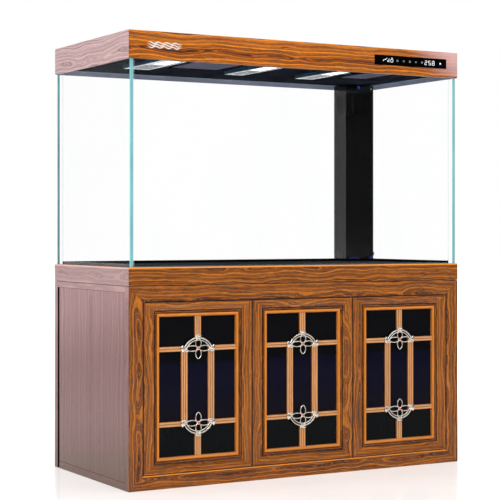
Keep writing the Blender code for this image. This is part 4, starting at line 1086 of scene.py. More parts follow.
FINISHES = {
    maker.__name__: maker
    for maker in (
        front_veneer, canopy_veneer, side_veneer, canopy_side_veneer, rail_veneer, bar_wood, inner_wood,
        carcass_board, slot_black, slate_paint, ceiling_black, black_acrylic, column_side, moulded_black,
        grey_pvc, white_pvc, blue_plastic, lamp_frame, lamp_shade, tank_floor, tinted_pane, float_glass,
        edge_bright, edge_core, silicone, panel_glass, lit_mark, dim_mark, cast_metal, badge_silver,
        brushed_steel, red_stone, black_foam, studio_floor,
    )
}


def finish(label):
    """The material of a finish, made the first time it is asked for."""
    return bpy.data.materials.get(label) or FINISHES[label]()


# ---------------------------------------------------------------- cabinet


def outer_sides(normals, middles):
    """Faces that look out to the left or right take the second finish."""
    return (np.abs(normals[:, 0]) > 0.7) & (np.abs(middles[:, 0]) > FRAME_BOUNDS[1][0] - 0.004)


def door_opening():
    """The face frame's opening: (low x, high x, low z, high z)."""
    low = span("door_left_frame")[0]
    high = span("door_right_frame")[1]
    return low[0] - DOOR_GAP, high[0] + DOOR_GAP, low[2] - DOOR_GAP, high[2] + DOOR_GAP


class AQUARIUM_OT_face_frame(bpy.types.Operator):
    """Mitred face frame round the doors"""

    bl_idname = "aquarium.face_frame"
    bl_label = "Face Frame"

    def execute(self, context):
        low, high = span("face_frame")
        outer = (low[0], high[0], low[2], high[2])
        profile = [(INNER, high[1]), (INNER, low[1] + 0.006), (INNER, low[1]), (0.0030, low[1])]
        profile += [(0.0042, low[1]), (OUTER, low[1]), (OUTER, high[1])]
        # Tone paints a highlight along the sill's upper edge and shade in the reveals of the other three
        # members.
        lit_sill = [0.0, 0.0, 1.6, 1.2, 0.0, 0.0, 0.0]
        shaded_reveal = [0.0, -1.0, -1.0, 0.0, 0.0, 0.0, 0.0]
        tone = [lit_sill, shaded_reveal, shaded_reveal, shaded_reveal]
        shells = Shells().add_frame(mitred(outer, door_opening(), profile), seed=11, tone=tone)
        piece(
            "cabinet_face_frame", shells, ["front_veneer", "side_veneer"], CABINET, ["face_frame"],
            sizes().edge_round, paint=outer_sides,
        )
        return {"FINISHED"}


class AQUARIUM_OT_top_band(bpy.types.Operator):
    """Band with a rounded upper edge round the foot of the tank"""

    bl_idname = "aquarium.top_band"
    bl_label = "Top Band"

    def execute(self, context):
        low, high = span("top_band")
        glass_low = span("glass_bottom")[0]
        lip = glass_low[0] - low[0] - 0.001
        rounding = sizes().band_round
        quarter = np.linspace(0, math.pi / 2, 7)
        arc_in = rounding * (1 - np.cos(quarter))
        arc_up = high[2] - rounding * (1 - np.sin(quarter))
        foot = low[2] + 0.0008
        profile = [(OUTER, foot), (OUTER, low[2] + 0.0030), (OUTER, high[2] - rounding - 0.0015)]
        profile += [(OUTER - inward / lip, height) for inward, height in zip(arc_in, arc_up)]
        profile += [(INNER, high[2]), (INNER, foot)]
        outer = (low[0], high[0], low[1], high[1])
        inner = (low[0] + lip, high[0] - lip, low[1] + lip, high[1] - lip)
        # Tone paints a highlight along the rounded upper edge and shade along the foot.
        tone = [-1.2, 0.0, 0.0, 0.7] + [1.2] * 6 + [0.6, -1.2]
        shells = Shells().add_frame(mitred(outer, inner, profile, lying=True), lying=True, seed=31, tone=tone)
        piece(
            "cabinet_top_band", shells, ["front_veneer", "rail_veneer"], CABINET, ["top_band"],
            paint=outer_sides,
        )
        return {"FINISHED"}


class AQUARIUM_OT_side_panels(bpy.types.Operator):
    """Side panels in three boards: top rail, upright panel and skirt, with a slot behind them"""

    bl_idname = "aquarium.side_panels"
    bl_label = "Side Panels"

    def execute(self, context):
        vent = 0.017
        rail = 0.023
        skirt = 0.029
        joint = 0.0004
        for side in ("left", "right"):
            low, high = span(f"side_panel_{side}")
            slot_front = high[1] - vent
            rail_low = high[2] - rail
            skirt_high = low[2] + skirt
            panel = cuboid((low[0], low[1], skirt_high + joint), (high[0], slot_front, rail_low - joint))
            shells = Shells()
            shells.add(cuboid((low[0], low[1], rail_low), high), "yzx", 41)
            shells.add(panel, "zyx", 42)
            shells.add(cuboid(low, (high[0], slot_front, skirt_high - joint)), "yzx", 43)

            def paint(normals, middles):
                # Painted shade: the slot's back face and the faces under the rail take the black.
                slot = (normals[:, 1] > 0.5) & (np.abs(middles[:, 1] - slot_front) < joint)
                under = (normals[:, 2] < -0.5) & (middles[:, 2] > rail_low - joint)
                return np.where(slot | under, 1, np.where(middles[:, 2] > rail_low, 2, 0))

            piece(
                f"cabinet_side_{side}", shells, ["side_veneer", "slot_black", "rail_veneer"], CABINET,
                [f"side_panel_{side}"], sizes().edge_round, paint=paint,
            )
        return {"FINISHED"}


class AQUARIUM_OT_carcass(bpy.types.Operator):
    """Back, floor, deck, mullions and mat of the cabinet"""

    bl_idname = "aquarium.carcass"
    bl_label = "Carcass"

    def execute(self, context):
        low, high = span("back_panel")
        stile = 0.070
        groove = 0.0015
        deep = 0.0020
        front, back = high[1] - deep, high[1] + deep
        left, right = low[0] + stile, high[0] - stile
        grooves = [((x - groove, front, low[2]), (x + groove, back, high[2])) for x in (left, right)]
        for z in (low[2] + stile, high[2] - stile):
            grooves.append(((left, front, z - groove), (right, back, z + groove)))
        beside = high[0] - 0.040
        shells = Shells().add(carved([(low, high)], grooves, ((-beside, beside), (), ())), "zxy", 51)

        def paint(normals, middles):
            # Painted shade: the back's inner face beyond the stiles, seen through the slots, takes the black.
            return (normals[:, 1] < -0.5) & (np.abs(middles[:, 0]) > beside)

        piece(
            "cabinet_back", shells, ["side_veneer", "slot_black"], CABINET, ["back_panel"], 0.0008,
            paint=paint,
        )
        for side in ("left", "right"):
            refinish(f"mullion_{side}", "inner_wood")
        refinish("cabinet_floor", "carcass_board")
        refinish("deck", "carcass_board")
        refinish("tank_mat", "black_foam")
        return {"FINISHED"}


# ---------------------------------------------------------------- doors

DOOR_SIDE = 0.067
DOOR_TOP = 0.054
DOOR_BOTTOM = 0.058
CROSS_BAR = 0.122  # from the pane's top or bottom to the middle of a cross bar
ARCH_RISE = 0.042  # the arch of an ornament over its cross bar
ARCH_RADIUS = 0.067


def pane_shown(label):
    """The part of a door's pane that shows: (low x, high x, low z, high z)."""
    low, high = span(f"door_{label}_frame")
    return low[0] + DOOR_SIDE, high[0] - DOOR_SIDE, low[2] + DOOR_BOTTOM, high[2] - DOOR_TOP


def door_moulding(front, back):
    """Door frame profile from the pane outwards, and its tone at each point.

    Bead: a half circle. Ogee: a half wave of cosine between two depths. Then a sunk quirk, a fine step and
    the flat. Tone 1 is a painted highlight and tone -1 is painted shade in the hollows.
    """
    half_turn = np.linspace(0, math.pi, 11)
    bead_out = 0.0060 - 0.0050 * np.cos(half_turn)
    bead_deep = 0.0065 - 0.0050 * np.sin(half_turn)
    wave = np.linspace(0, 1, 7)
    ogee_out = 0.0128 + 0.0057 * wave
    ogee_deep = 0.0047 + 0.0025 * np.cos(math.pi * wave)
    points = [(0.0, 0.0115, 0.2), (0.0, 0.0075, 0.6)]
    points += [(o, d, 0.75) for o, d in zip(bead_out, bead_deep)]
    points += [(0.0113, 0.0088, -1.2), (0.0124, 0.0088, -1.2)]
    points += [(o, d, -0.35) for o, d in zip(ogee_out, ogee_deep)]
    points += [(0.0190, 0.0024, -0.2), (0.0194, 0.0064, -1.2), (0.0222, 0.0066, -1.2), (0.0232, 0.0032, -0.2)]
    points += [(0.0262, 0.0026, 0.1), (0.0300, 0.0020, 0.1), (0.0308, 0.0006, -0.7), (0.0320, 0.0, 0.1)]
    profile = [(o, front + d) for o, d, _ in points]
    tone = [t for _, _, t in points]
    profile += [(2.950, front), (2.985, front), (OUTER, front + 0.0009), (OUTER, front + 0.0050)]
    profile += [(OUTER, back), (0.0085, back), (0.0085, front + 0.0115)]
    tone += [0.0, -0.9, -1.2, -0.3, 0.0, 0.0, 0.0]
    return profile, tone


class AQUARIUM_OT_door_frames(bpy.types.Operator):
    """Moulded and mitred door frames with their panes"""

    bl_idname = "aquarium.door_frames"
    bl_label = "Door Frames"

    def execute(self, context):
        for number, label in enumerate(DOORS):
            low, high = span(f"door_{label}_frame")
            profile, tone = door_moulding(low[1], high[1])
            outer = (low[0], high[0], low[2], high[2])
            members = mitred(outer, pane_shown(label), profile)
            shells = Shells().add_frame(members, seed=61 + 10 * number, tone=tone)
            piece(
                f"door_{label}_moulded_frame", shells, ["front_veneer"], f"door_{label}",
                [f"door_{label}_frame"], smooth=28,
            )
            refinish(f"door_{label}_pane", "tinted_pane")
        return {"FINISHED"}


def reeded_bar(low, high, front, back, upright, reeds):
    """A bar whose face is a row of reeds, as (shell, tone): low and high are its (x, z) corners.

    Across each reed the face rises by a power of a sine. The tone follows it: a painted highlight on the
    crowns and painted shade between them and at the back.
    """
    across = np.linspace(0, 1, 8 * reeds + 1)
    crown = np.abs(np.sin(math.pi * reeds * across)) ** 0.6
    fall = 0.0016
    deep = front + fall * (1 - crown)
    wide, along = (0, 1) if upright else (1, 0)
    side = low[wide] + (high[wide] - low[wide]) * across
    outline = np.concatenate([np.stack([side, deep], 1), [(side[-1], back), (side[0], back)]])
    if not upright:
        outline = outline[:, ::-1]
    tone = np.concatenate([crown * 1.5 - 0.85, [-0.7, -0.7]])
    return carried(outline, 2 if upright else 0, low[along], high[along]), np.tile(tone, 2)


class AQUARIUM_OT_door_bars(bpy.types.Operator):
    """Reeded bars over the door panes, and the thin rim that holds them"""

    bl_idname = "aquarium.door_bars"
    bl_label = "Door Bars"

    def execute(self, context):
        upright_half = 0.0135
        cross_half = 0.0095
        spread = 0.113
        reach = 0.060
        past_cross = 0.006
        edge = 0.0015
        for number, label in enumerate(DOORS):
            low, high = span(f"door_{label}_lattice")
            pane = pane_shown(label)
            middle = (pane[0] + pane[1]) / 2
            front, back = low[1], high[1]
            rim = (pane[0] + edge, pane[1] - edge, pane[2] + edge, pane[3] - edge)
            outer = (low[0], high[0], low[2], high[2])
            profile = [(INNER, back - 0.002), (OUTER, back - 0.002), (OUTER, back), (INNER, back)]
            # The rim behind the bars is darkened a little by painted shade.
            shells = Shells().add_frame(mitred(outer, rim, profile), seed=101, tone=-0.3)

            def add_bar(x_ends, z_ends, upright, seed):
                """A bar with three reeds if it is upright, and with two across."""
                corners = zip(x_ends, z_ends)
                shell, tone = reeded_bar(*corners, front, back, upright, 3 if upright else 2)
                shells.add(shell, "zxy" if upright else "xzy", seed, tone)

            crosses = ((pane[3] - CROSS_BAR, pane[3] - HAIR, 1), (pane[2] + CROSS_BAR, pane[2] + HAIR, -1))
            for z, far, up in crosses:
                ends = sorted((z + up * ARCH_RISE, far))
                add_bar((middle - upright_half, middle + upright_half), ends, True, 110 + number)
                for x_ends in ((pane[0] + HAIR, middle - reach), (middle + reach, pane[1] - HAIR)):
                    add_bar(x_ends, (z - cross_half, z + cross_half), False, 120 + number)
            ends = (crosses[1][0] - past_cross, crosses[0][0] + past_cross)
            for side in (-1, 1):
                x = middle + side * spread / 2
                add_bar((x - upright_half, x + upright_half), ends, True, 130 + number + side)
            piece(
                f"door_{label}_bars", shells, ["bar_wood"], f"door_{label}",
                [f"door_{label}_lattice"], smooth=50,
            )
        return {"FINISHED"}


def petal_path(reach, width, angle, points=28):
    """A pointed leaf from the middle outwards: along is a cosine swing, and across is a sharpened sine."""
    turn = np.arange(points) * TAU / points
    along = reach / 2 * (1 - np.cos(turn))
    across = width / 2 * np.sin(turn) * np.abs(np.sin(turn)) ** 0.30
    x = along * math.cos(angle) - across * math.sin(angle)
    z = along * math.sin(angle) + across * math.cos(angle)
    return np.stack([x, z], axis=1)


def arch_path(radius, centre, up, points=40):
    """The part of a circle above the ornament's level line."""
    half = math.acos(-centre / radius)
    turn = np.linspace(-half, half, points)
    return np.stack([radius * np.sin(turn), up * (centre + radius * np.cos(turn))], axis=1)


def ornament(label, end):
    """One cast ornament: two arch bands, four open petals, collars and feet, and stones on one collar, one
    foot and the centre.
    """
    low, high = span(f"door_{label}_ornament_{end}")
    pane = pane_shown(label)
    up = 1 if end == "upper" else -1
    middle = (pane[0] + pane[1]) / 2
    level = pane[3] - CROSS_BAR if up > 0 else pane[2] + CROSS_BAR
    front, back = low[1], high[1]
    deep = (back - front) / 2
    place = np.array([middle, level])
    cast = Shells()

    def pour(shell):
        """Adds a shell that darkens towards its back, where the metal stays tarnished."""
        sunk = np.clip((shell[0][:, 1] - front) / (back - front) * 2.2 - 1.1, 0, 1)
        cast.add(shell, tone=-sunk)

    band_pitch = 0.0085
    outer = ARCH_RADIUS - sizes().arch_outer
    centre = ARCH_RISE - ARCH_RADIUS
    for radius, half in ((outer, sizes().arch_outer), (outer - band_pitch, sizes().arch_inner)):
        pour(wire(arch_path(radius, centre, up) + place, back - deep * 0.8, half, deep * 0.75, sides=12))
    petals = ((0.052, 0.0205), (0.039, 0.0235))
    for turn in range(4):
        reach, width = petals[turn % 2]
        path = petal_path(reach, width, turn * math.pi / 2) * (1, up) + place
        pour(wire(path, back - deep * 0.95, sizes().petal_wire, deep * 0.72, closed=True, sides=10))
    collar = math.sqrt(ARCH_RADIUS**2 - centre**2) + 0.0035
    foot = 0.0535
    foot_drop = 0.0085
    # A boss is (along, over, half along, half over, set back, lobes, ripple, squareness).
    bosses = []
    for side in (-1, 1):
        bosses += [
            (side * collar, 0, 0.0062, 0.0120, 0, 4, 0.07, 3.0),
            (side * (collar - 0.0065), 0, 0.0045, 0.0088, 0.0006, 3, 0.05, 2.4),
            (side * foot, -foot_drop, 0.0125, 0.0052, 0.0004, 5, 0.08, 3.2),
            (side * foot, -0.0015, 0.0070, 0.0042, 0.0002, 0, 0, 2.4),
        ]
    bosses += [
        (0, ARCH_RISE + 0.004, 0.0130, 0.0052, 0, 5, 0.08, 3.0),
        (0, ARCH_RISE - 0.003, 0.0085, 0.0048, 0.0005, 3, 0.05, 2.4),
        (0, 0, 0.0072, 0.0072, 0.0022, 8, 0.05, 2.0),
    ]
    for along, over, half_x, half_z, inset, *shape in bosses:
        pour(cushion(middle + along, level + up * over, half_x, half_z, back, front + inset, *shape))
    # A stone is (along, over, radius, depth of its back, set back, rings, points around).
    stones = Shells()
    for along, over, radius, depth, inset, rings, around in (
        (0, 0, 0.0048, 0.0028, 0.0001, 6, 24),
        (collar, 0, 0.0026, 0.0012, 0, 5, 16),
        (-foot, -foot_drop, 0.0022, 0.0016, 0.0001, 5, 16),
    ):
        x, z = middle + along, level + up * over
        stones.add(cushion(x, z, radius, radius, front + depth, front + inset, rings=rings, around=around))
    body = f"door_{label}"
    piece(
        f"{body}_rosette_{end}", cast, ["cast_metal"], body, [f"{body}_ornament_{end}"],
        smooth=60,
    )
    piece(f"{body}_stones_{end}", stones, ["red_stone"], body, smooth=60)


class AQUARIUM_OT_ornaments(bpy.types.Operator):
    """Cast ornaments with red stones on the doors"""

    bl_idname = "aquarium.ornaments"
    bl_label = "Door Ornaments"

    def execute(self, context):
        for label in DOORS:
            for end in ("upper", "lower"):
                ornament(label, end)
        return {"FINISHED"}


class AQUARIUM_OT_door_fittings(bpy.types.Operator):
    """Hinge pins and push latches"""

    bl_idname = "aquarium.door_fittings"
    bl_label = "Door Fittings"

    def execute(self, context):
        for label in DOORS:
            for end in ("top", "bottom"):
                refinish(f"hinge_pin_{label}_{end}", "brushed_steel")
            refinish(f"latch_{label}_body", "moulded_black")
            refinish(f"latch_{label}_plunger", "white_pvc")
        return {"FINISHED"}


# ---------------------------------------------------------------- tank


class AQUARIUM_OT_tank_panes(bpy.types.Operator):
    """Clear panes of the tank with polished edges"""

    bl_idname = "aquarium.tank_panes"
    bl_label = "Tank Panes"

    def execute(self, context):
        arris = sizes().arris
        shown = 0.014
        for side, thin in (("front", 1), ("back", 1), ("left", 0), ("right", 0)):
            low, high = span(f"glass_{side}")
            start = low[thin] if side == "left" else high[thin] - shown
            lines = [(), (), ()]
            lines[thin] = (start + arris, start + shown) if side == "left" else (start, start + arris)
            shells = Shells().add(cuboid(low, high, lines))

            def paint(normals, middles):
                level = np.abs(normals[:, 2]) > 0.5
                upright = (np.abs(normals[:, 1]) > 0.5) & (thin == 0)
                along = middles[:, thin] - start
                tinted = (along > 0) & (along < shown) | level
                return (level | upright) * tinted * np.where(along < arris, 1, 2)

            finishes = ["float_glass", "edge_bright", "edge_core"]
            nodes = [f"glass_{side}"]
            piece(f"tank_pane_{side}", shells, finishes, CABINET, nodes, paint=paint)
        low, high = span("glass_bottom")
        shells = Shells().add(cuboid(low, high))
        piece("tank_pane_bottom", shells, ["tank_floor"], CABINET, ["glass_bottom"], 0.0004)
        return {"FINISHED"}


class AQUARIUM_OT_tank_trim(bpy.types.Operator):
    """Black strip round the tank's foot, and beads of sealant in its corners"""

    bl_idname = "aquarium.tank_trim"
    bl_label = "Tank Trim and Sealant"

    def execute(self, context):
        low, high = span("base_trim")
        column = span("overflow_column")[0]
        thick = 0.006
        step_x, step_y = column[0] - HAIR, column[1] - HAIR
        boxes = [
            (low, (low[0] + thick, high[1], high[2])),
            ((low[0], high[1] - thick, low[2]), (step_x, high[1], high[2])),
            ((step_x - thick, step_y - thick, low[2]), (step_x, high[1], high[2])),
            ((step_x - thick, step_y - thick, low[2]), (high[0], step_y, high[2])),
            ((high[0] - thick, low[1], low[2]), (high[0], step_y, high[2])),
        ]
        shells = Shells().add(carved(boxes))
        piece("tank_base_trim", shells, ["black_acrylic"], CABINET, ["base_trim"], 0.0012)
        inside = span("glass_left")[1][0]
        rear = span("glass_back")[0][1]
        fore = span("glass_front")[1][1]
        top = span("glass_front")[1][2]
        size = 0.004
        curve = np.linspace(0, math.pi / 2, 6)

        def bead(corner, ways, *run):
            """A bead whose face is a hollow quarter circle, from its corner outwards in two ways."""
            hollow = size * (1 - np.stack([np.sin(curve), np.cos(curve)], axis=1))
            return carried(np.concatenate([[corner], np.array(corner) + hollow * ways]), *run)

        beads = Shells()
        for x, y, ways in ((inside, fore, (1, 1)), (-inside, fore, (-1, 1)), (inside, rear, (1, -1))):
            beads.add(bead((x, y), ways, 2, high[2] + HAIR, top - 0.001))
        clear = thick + 0.0005
        beads.add(bead((fore, low[2]), (1, 1), 0, low[0] + clear, high[0] - clear))
        piece("tank_sealant", beads, ["silicone"], CABINET, smooth=50)
        return {"FINISHED"}


class AQUARIUM_OT_overflow(bpy.types.Operator):
    """Overflow column with its weir slots, blue nozzle and foot clips"""

    bl_idname = "aquarium.overflow"
    bl_label = "Overflow Column"

    def execute(self, context):
        low, high = span("overflow_column")
        wall = 0.005
        # Weir slots near the top of its two faces, spread about each face's middle.
        slot = 0.0035
        pitch = 0.014
        slot_high = high[2] - 0.045
        slot_low = slot_high - 0.080
        holes = [((low[0] + wall, low[1] + wall, low[2] - 1), (high[0] - wall, high[1] - wall, high[2] + 1))]
        for axis in (0, 1):
            other = 1 - axis
            run = high[axis] - low[axis]
            count = int((run - 2 * pitch) / pitch)
            first = low[axis] + run / 2 - (count - 1) * pitch / 2
            for number in range(count):
                across = first + number * pitch
                one, two = np.zeros(3), np.zeros(3)
                one[axis], two[axis] = across - slot / 2, across + slot / 2
                one[other], two[other] = low[other] - wall, low[other] + 2 * wall
                one[2], two[2] = slot_low, slot_high
                holes.append((one, two))
        radius = 0.010
        nozzle = (low[0] + 0.058, span("return_pipe")[1][2] - radius)
        bore = radius + 0.0006

        def block(half, deep, front, back):
            """A box round the nozzle's middle: half wide along X, half deep along Z, from front to back."""
            x, z = nozzle
            return (x - half, front, z - deep), (x + half, back, z + deep)

        holes.append(block(bore, bore, low[1] - wall, low[1] + 2 * wall))
        shells = Shells().add(carved([(low, high)], holes))

        def paint_column(normals, middles):
            """The column's left face takes the second finish, its painted shade."""
            return (normals[:, 0] < -0.7) & (middles[:, 0] < low[0] + 0.001)

        piece(
            "overflow_box", shells, ["black_acrylic", "column_side"], CABINET,
            ["overflow_column"], 0.0006, paint=paint_column,
        )
        mouth = 0.0112
        nose = low[1] - 0.0138
        sleeve = block(mouth, mouth, nose, low[1] - 0.0004)
        slit = block(0.007, 0.0016, nose - 0.01, nose + 0.0010)
        tube = block(bore, bore, nose + 0.0014, low[1] + 0.01)
        half = 0.0065
        lines = ((nozzle[0] - half, nozzle[0] + half), (), (nozzle[1] + 0.0017,))

        def paint_nozzle(normals, middles):
            """The lower half and the cheeks take the second finish."""
            return (np.abs(middles[:, 0] - nozzle[0]) > half) | (middles[:, 2] < nozzle[1])

        piece(
            "return_nozzle", Shells().add(carved([sleeve], [slit, tube], lines)),
            ["blue_plastic", "black_acrylic"], CABINET, bevel=0.0006, paint=paint_nozzle,
        )
        button = [(0.0, 0.0042), (-0.0008, 0.0042), (-0.0016, 0.0036), (-0.0020, 0.0022), (-0.0021, 0.0)]
        shells = Shells().add(turned(button, (high[0] - 0.012, low[1] - HAIR, high[2] - 0.014), 1))
        piece("column_fixing", shells, ["grey_pvc"], CABINET)
        floor = span("base_trim")[1][2]
        before = low[1] - 0.0105
        bend = 0.026
        turn = np.linspace(math.pi * 0.10, math.pi * 0.90, 18)
        x, z = low[0] + 0.036, floor - 0.0005
        flat = np.stack([x - bend * np.cos(turn), z + 0.0035 * np.sin(turn)], axis=1)
        turn = np.linspace(-math.pi * 0.50, math.pi * 0.02, 16)
        x, z = high[0] - 0.031, floor + 0.0265
        hook = np.stack([x + bend * np.cos(turn), z + 0.024 * np.sin(turn)], axis=1)
        shells = Shells()
        for path, half_width in ((flat, 0.0020), (hook, 0.0026)):
            shells.add(wire(path, before, half_width, 0.0030))
        piece("column_foot_clips", shells, ["blue_plastic"], CABINET, smooth=60)
        refinish("return_pipe", "white_pvc")
        refinish("drain_pipe", "grey_pvc")
        return {"FINISHED"}


# ---------------------------------------------------------------- sump filter


class AQUARIUM_OT_sump(bpy.types.Operator):
    """Sump tank with its partitions, and the trays, pump and heater in it"""

    bl_idname = "aquarium.sump"
    bl_label = "Sump Filter"

    def execute(self, context):
        low, high = span("sump_tank")
        sheet = 0.008
        inner_low = low + sheet
        inner_high = high - sheet
        filter_left = inner_high[0] - 0.500
        pump_right = inner_low[0] + 0.204
        above = high[2] + sheet
        chambers = [
            (filter_left, inner_high[0]),
            (pump_right + sheet, filter_left - sheet),
            (inner_low[0], pump_right),
        ]
        holes = [((a, inner_low[1], inner_low[2]), (b, inner_high[1], above)) for a, b in chambers]
        for right, drop in ((filter_left, 0.060), (pump_right + sheet, 0.100)):
            weir_low = (right - 2 * sheet, inner_low[1], high[2] - drop)
            holes.append((weir_low, (right + sheet, inner_high[1], above)))

        def paint(normals, middles):
            return (normals[:, 2] > 0.7) & (middles[:, 2] > low[2] + 2 * sheet)

        piece(
            "sump_glass", Shells().add(carved([(low, high)], holes)), ["float_glass", "edge_core"], CABINET,
            ["sump_tank"], paint=paint,
        )
        for side in ("left", "right"):
            refinish(f"filter_tray_{side}", "moulded_black")
        refinish("return_pump", "moulded_black")
        refinish("pump_impeller", "white_pvc")
        refinish("heater", "black_acrylic")
        return {"FINISHED"}


# ---------------------------------------------------------------- canopy

FACE_BACK = 0.0008  # how far the canopy's face stands behind its badge and panel
LID_STUB = 0.0085  # the length of a lid's pin outside its board
LID_NOTCH = (0.040, 0.014)  # half the width of a lid's finger notch, and its depth
THROUGH = 2.0  # above everything, for a hole that goes right through


class AQUARIUM_OT_canopy(bpy.types.Operator):
    """Canopy walls with a rounded lower edge, top with its two wells, and ceiling"""

    bl_idname = "aquarium.canopy"
    bl_label = "Canopy"

    def execute(self, context):
        low, high = span("canopy_shell")
        outer = (low[0] + FACE_BACK, high[0] - FACE_BACK, low[1] + FACE_BACK, high[1] - FACE_BACK)
        wall = 0.018
        lip = 0.007
        lip_top = span("glass_front")[1][2] + HAIR
        rounding = 0.005
        inner = (low[0] + wall, high[0] - wall, low[1] + wall, high[1] - wall)
        reach = wall - FACE_BACK

        def share(inward):
            """A profile's place so many metres in from the outer face."""
            return OUTER - inward / reach

        turn = np.linspace(0, math.pi / 2, 6)
        rounded = zip(rounding * (1 - np.cos(turn)), low[2] + rounding * (1 - np.sin(turn)))
        profile = [(share(inward), height) for inward, height in rounded]
        profile += [(share(lip - FACE_BACK), low[2]), (share(lip - FACE_BACK), lip_top), (INNER, lip_top)]
        profile += [(INNER, high[2]), (share(0.0016), high[2]), (share(0.0005), high[2] - 0.0005)]
        profile += [(OUTER, high[2] - 0.0016)]
        # Tone paints shade on the rounded lower edge, which faces down, and a highlight along the upper edge.
        tone = [0.0, -0.1, -0.2, -0.35, -0.5, -0.6, -0.6, 0.0, 0.0, 0.0, 0.3, 0.3, 0.0]
        members = mitred(outer, inner, profile, lying=True)
        shells = Shells().add_frame(members, lying=True, seed=151, tone=tone)

        def within(middles, margin):
            """Faces further in than the lip over the glass, by a margin."""
            return np.all(np.abs(middles[:, :2]) < high[:2] - lip - margin, axis=1)

        def paint_walls(normals, middles):
            """Finish 2 on the walls' inner side and in the rebate over the glass, and 1 on the ends."""
            inside = within(middles, 0.0005)
            upright = np.abs(normals[:, 2]) < 0.5
            rebate = within(middles, -0.0005) & upright & (middles[:, 2] < lip_top - 0.004)
            hidden = inside & (normals[:, 2] < 0.7) | rebate
            flank = np.abs(normals[:, 0]) > 0.6
            return np.where(hidden, 2, np.where(flank & ~inside, 1, 0))

        piece(
            "canopy_walls", shells, ["canopy_veneer", "canopy_side_veneer", "slate_paint"], "canopy",
            ["canopy_shell"], paint=paint_walls, smooth=40,
        )
        gap = 0.0004
        room = 0.0025
        ledge = 0.008
        swing = 0.0132
        well_floor = high[2] - 0.0103
        notch_half, notch_deep = LID_NOTCH
        board = ((inner[0] + gap, inner[2] + gap, high[2] - 0.015), (inner[1] - gap, inner[3] - gap, high[2]))
        holes = []
        for side in ("left", "right"):
            lid_low, lid_high = span(f"lid_{side}")
            left, right = lid_low[0] + LID_STUB, lid_high[0] - LID_STUB
            near, far = lid_low[1], lid_high[1]
            middle = (left + right) / 2
            holes += [
                ((left - room, near - room, well_floor), (right + room, far + room, THROUGH)),
                ((left + ledge, near + ledge, 0), (right - ledge, far + room, THROUGH)),
                ((left - room / 2, far - swing, 0), (right + room / 2, far + room, THROUGH)),
                ((middle - notch_half, near - room, 0), (middle + notch_half, near + notch_deep, THROUGH)),
            ]

        def paint_underside(normals, middles):
            """Faces that look down take the second finish, a black that paints shade on the top's underside.
            """
            return normals[:, 2] < -0.5

        shells = Shells().add(carved([board], holes), "xyz", 171)
        piece(
            "canopy_top", shells, ["canopy_veneer", "ceiling_black"], "canopy", bevel=0.0008,
            paint=paint_underside,
        )
        refinish("canopy_ceiling", "ceiling_black")
        return {"FINISHED"}


class AQUARIUM_OT_lids(bpy.types.Operator):
    """Feeding lids with finger notches and steel stub pins"""

    bl_idname = "aquarium.lids"
    bl_label = "Feeding Lids"

    def execute(self, context):
        notch_half, notch_deep = LID_NOTCH
        inside = LID_STUB + 0.0195
        profile = [(0.0, 0.0019), (0.0003, 0.0020), (inside, 0.0020), (inside + 0.0005, 0.0016)]
        for number, side in enumerate(("left", "right")):
            low, high = span(f"lid_{side}")
            board = (low + (LID_STUB, 0, 0), high - (LID_STUB, 0, 0))
            middle = (low[0] + high[0]) / 2
            notch_far = (middle + notch_half, low[1] + notch_deep, THROUGH)
            notch = ((middle - notch_half, low[1] - 1, 0), notch_far)
            shells = Shells().add(carved([board], [notch]), "xyz", 181 + number)
            body = f"lid_{side}"
            piece(f"{body}_board", shells, ["canopy_veneer"], body, [body], 0.0020, 3)
            axis_y, axis_z = high[1:] - 0.005
            pins = Shells()
            for end, inward in ((low[0], 1), (high[0], -1)):
                pin = [(inward * along, radius) for along, radius in profile]
                pins.add(turned(pin, (end, axis_y, axis_z), 0))
            piece(f"{body}_pins", pins, ["brushed_steel"], body)
        return {"FINISHED"}


class AQUARIUM_OT_lamps(bpy.types.Operator):
    """Lamp units: a housing with ribs, and its glowing diffuser"""

    bl_idname = "aquarium.lamps"
    bl_label = "Lamps"

    def execute(self, context):
        rim = 0.012
        rib = 0.012
        deep = 0.006
        gap = 0.0005
        for side in ("left", "middle", "right"):
            low, high = span(f"lamp_{side}")
            bright_end = low[1] + 0.160
            left = low[0] + (0.033 if side == "left" else rim)
            right = left + 0.060
            cover = right + rim
            holes = [((left, low[1] + rim, low[2] - 1), (right, bright_end, low[2] + deep))]
            start = bright_end + rim
            while start + rib < high[1] - rim:
                holes.append(((low[0] + rim, start, low[2] - 1), (right, start + rib, low[2] + deep / 2)))
                start += 2 * rib
            shells = Shells().add(carved([(low, high)], holes, ((cover,), (), ())))

            def paint(normals, middles):
                # Painted shade: faces high in the recesses take the black.
                recessed = (middles[:, 2] > low[2] + deep / 4) & (normals[:, 2] < -0.5)
                return (middles[:, 0] > cover) | recessed

            piece(
                f"lamp_{side}_housing", shells, ["lamp_frame", "ceiling_black"], "canopy",
                [f"lamp_{side}"], 0.0010, paint=paint,
            )
            near = (left + gap, low[1] + rim + gap, low[2] + 0.0015)
            far = (right - gap, bright_end - gap, low[2] + deep - gap)
            shells = Shells().add(cuboid(near, far))
            piece(f"lamp_{side}_shade", shells, ["lamp_shade"], "canopy", bevel=0.0010)
        return {"FINISHED"}


STROKES = {"2": "abged", "5": "afgcd", "8": "abcdefg"}


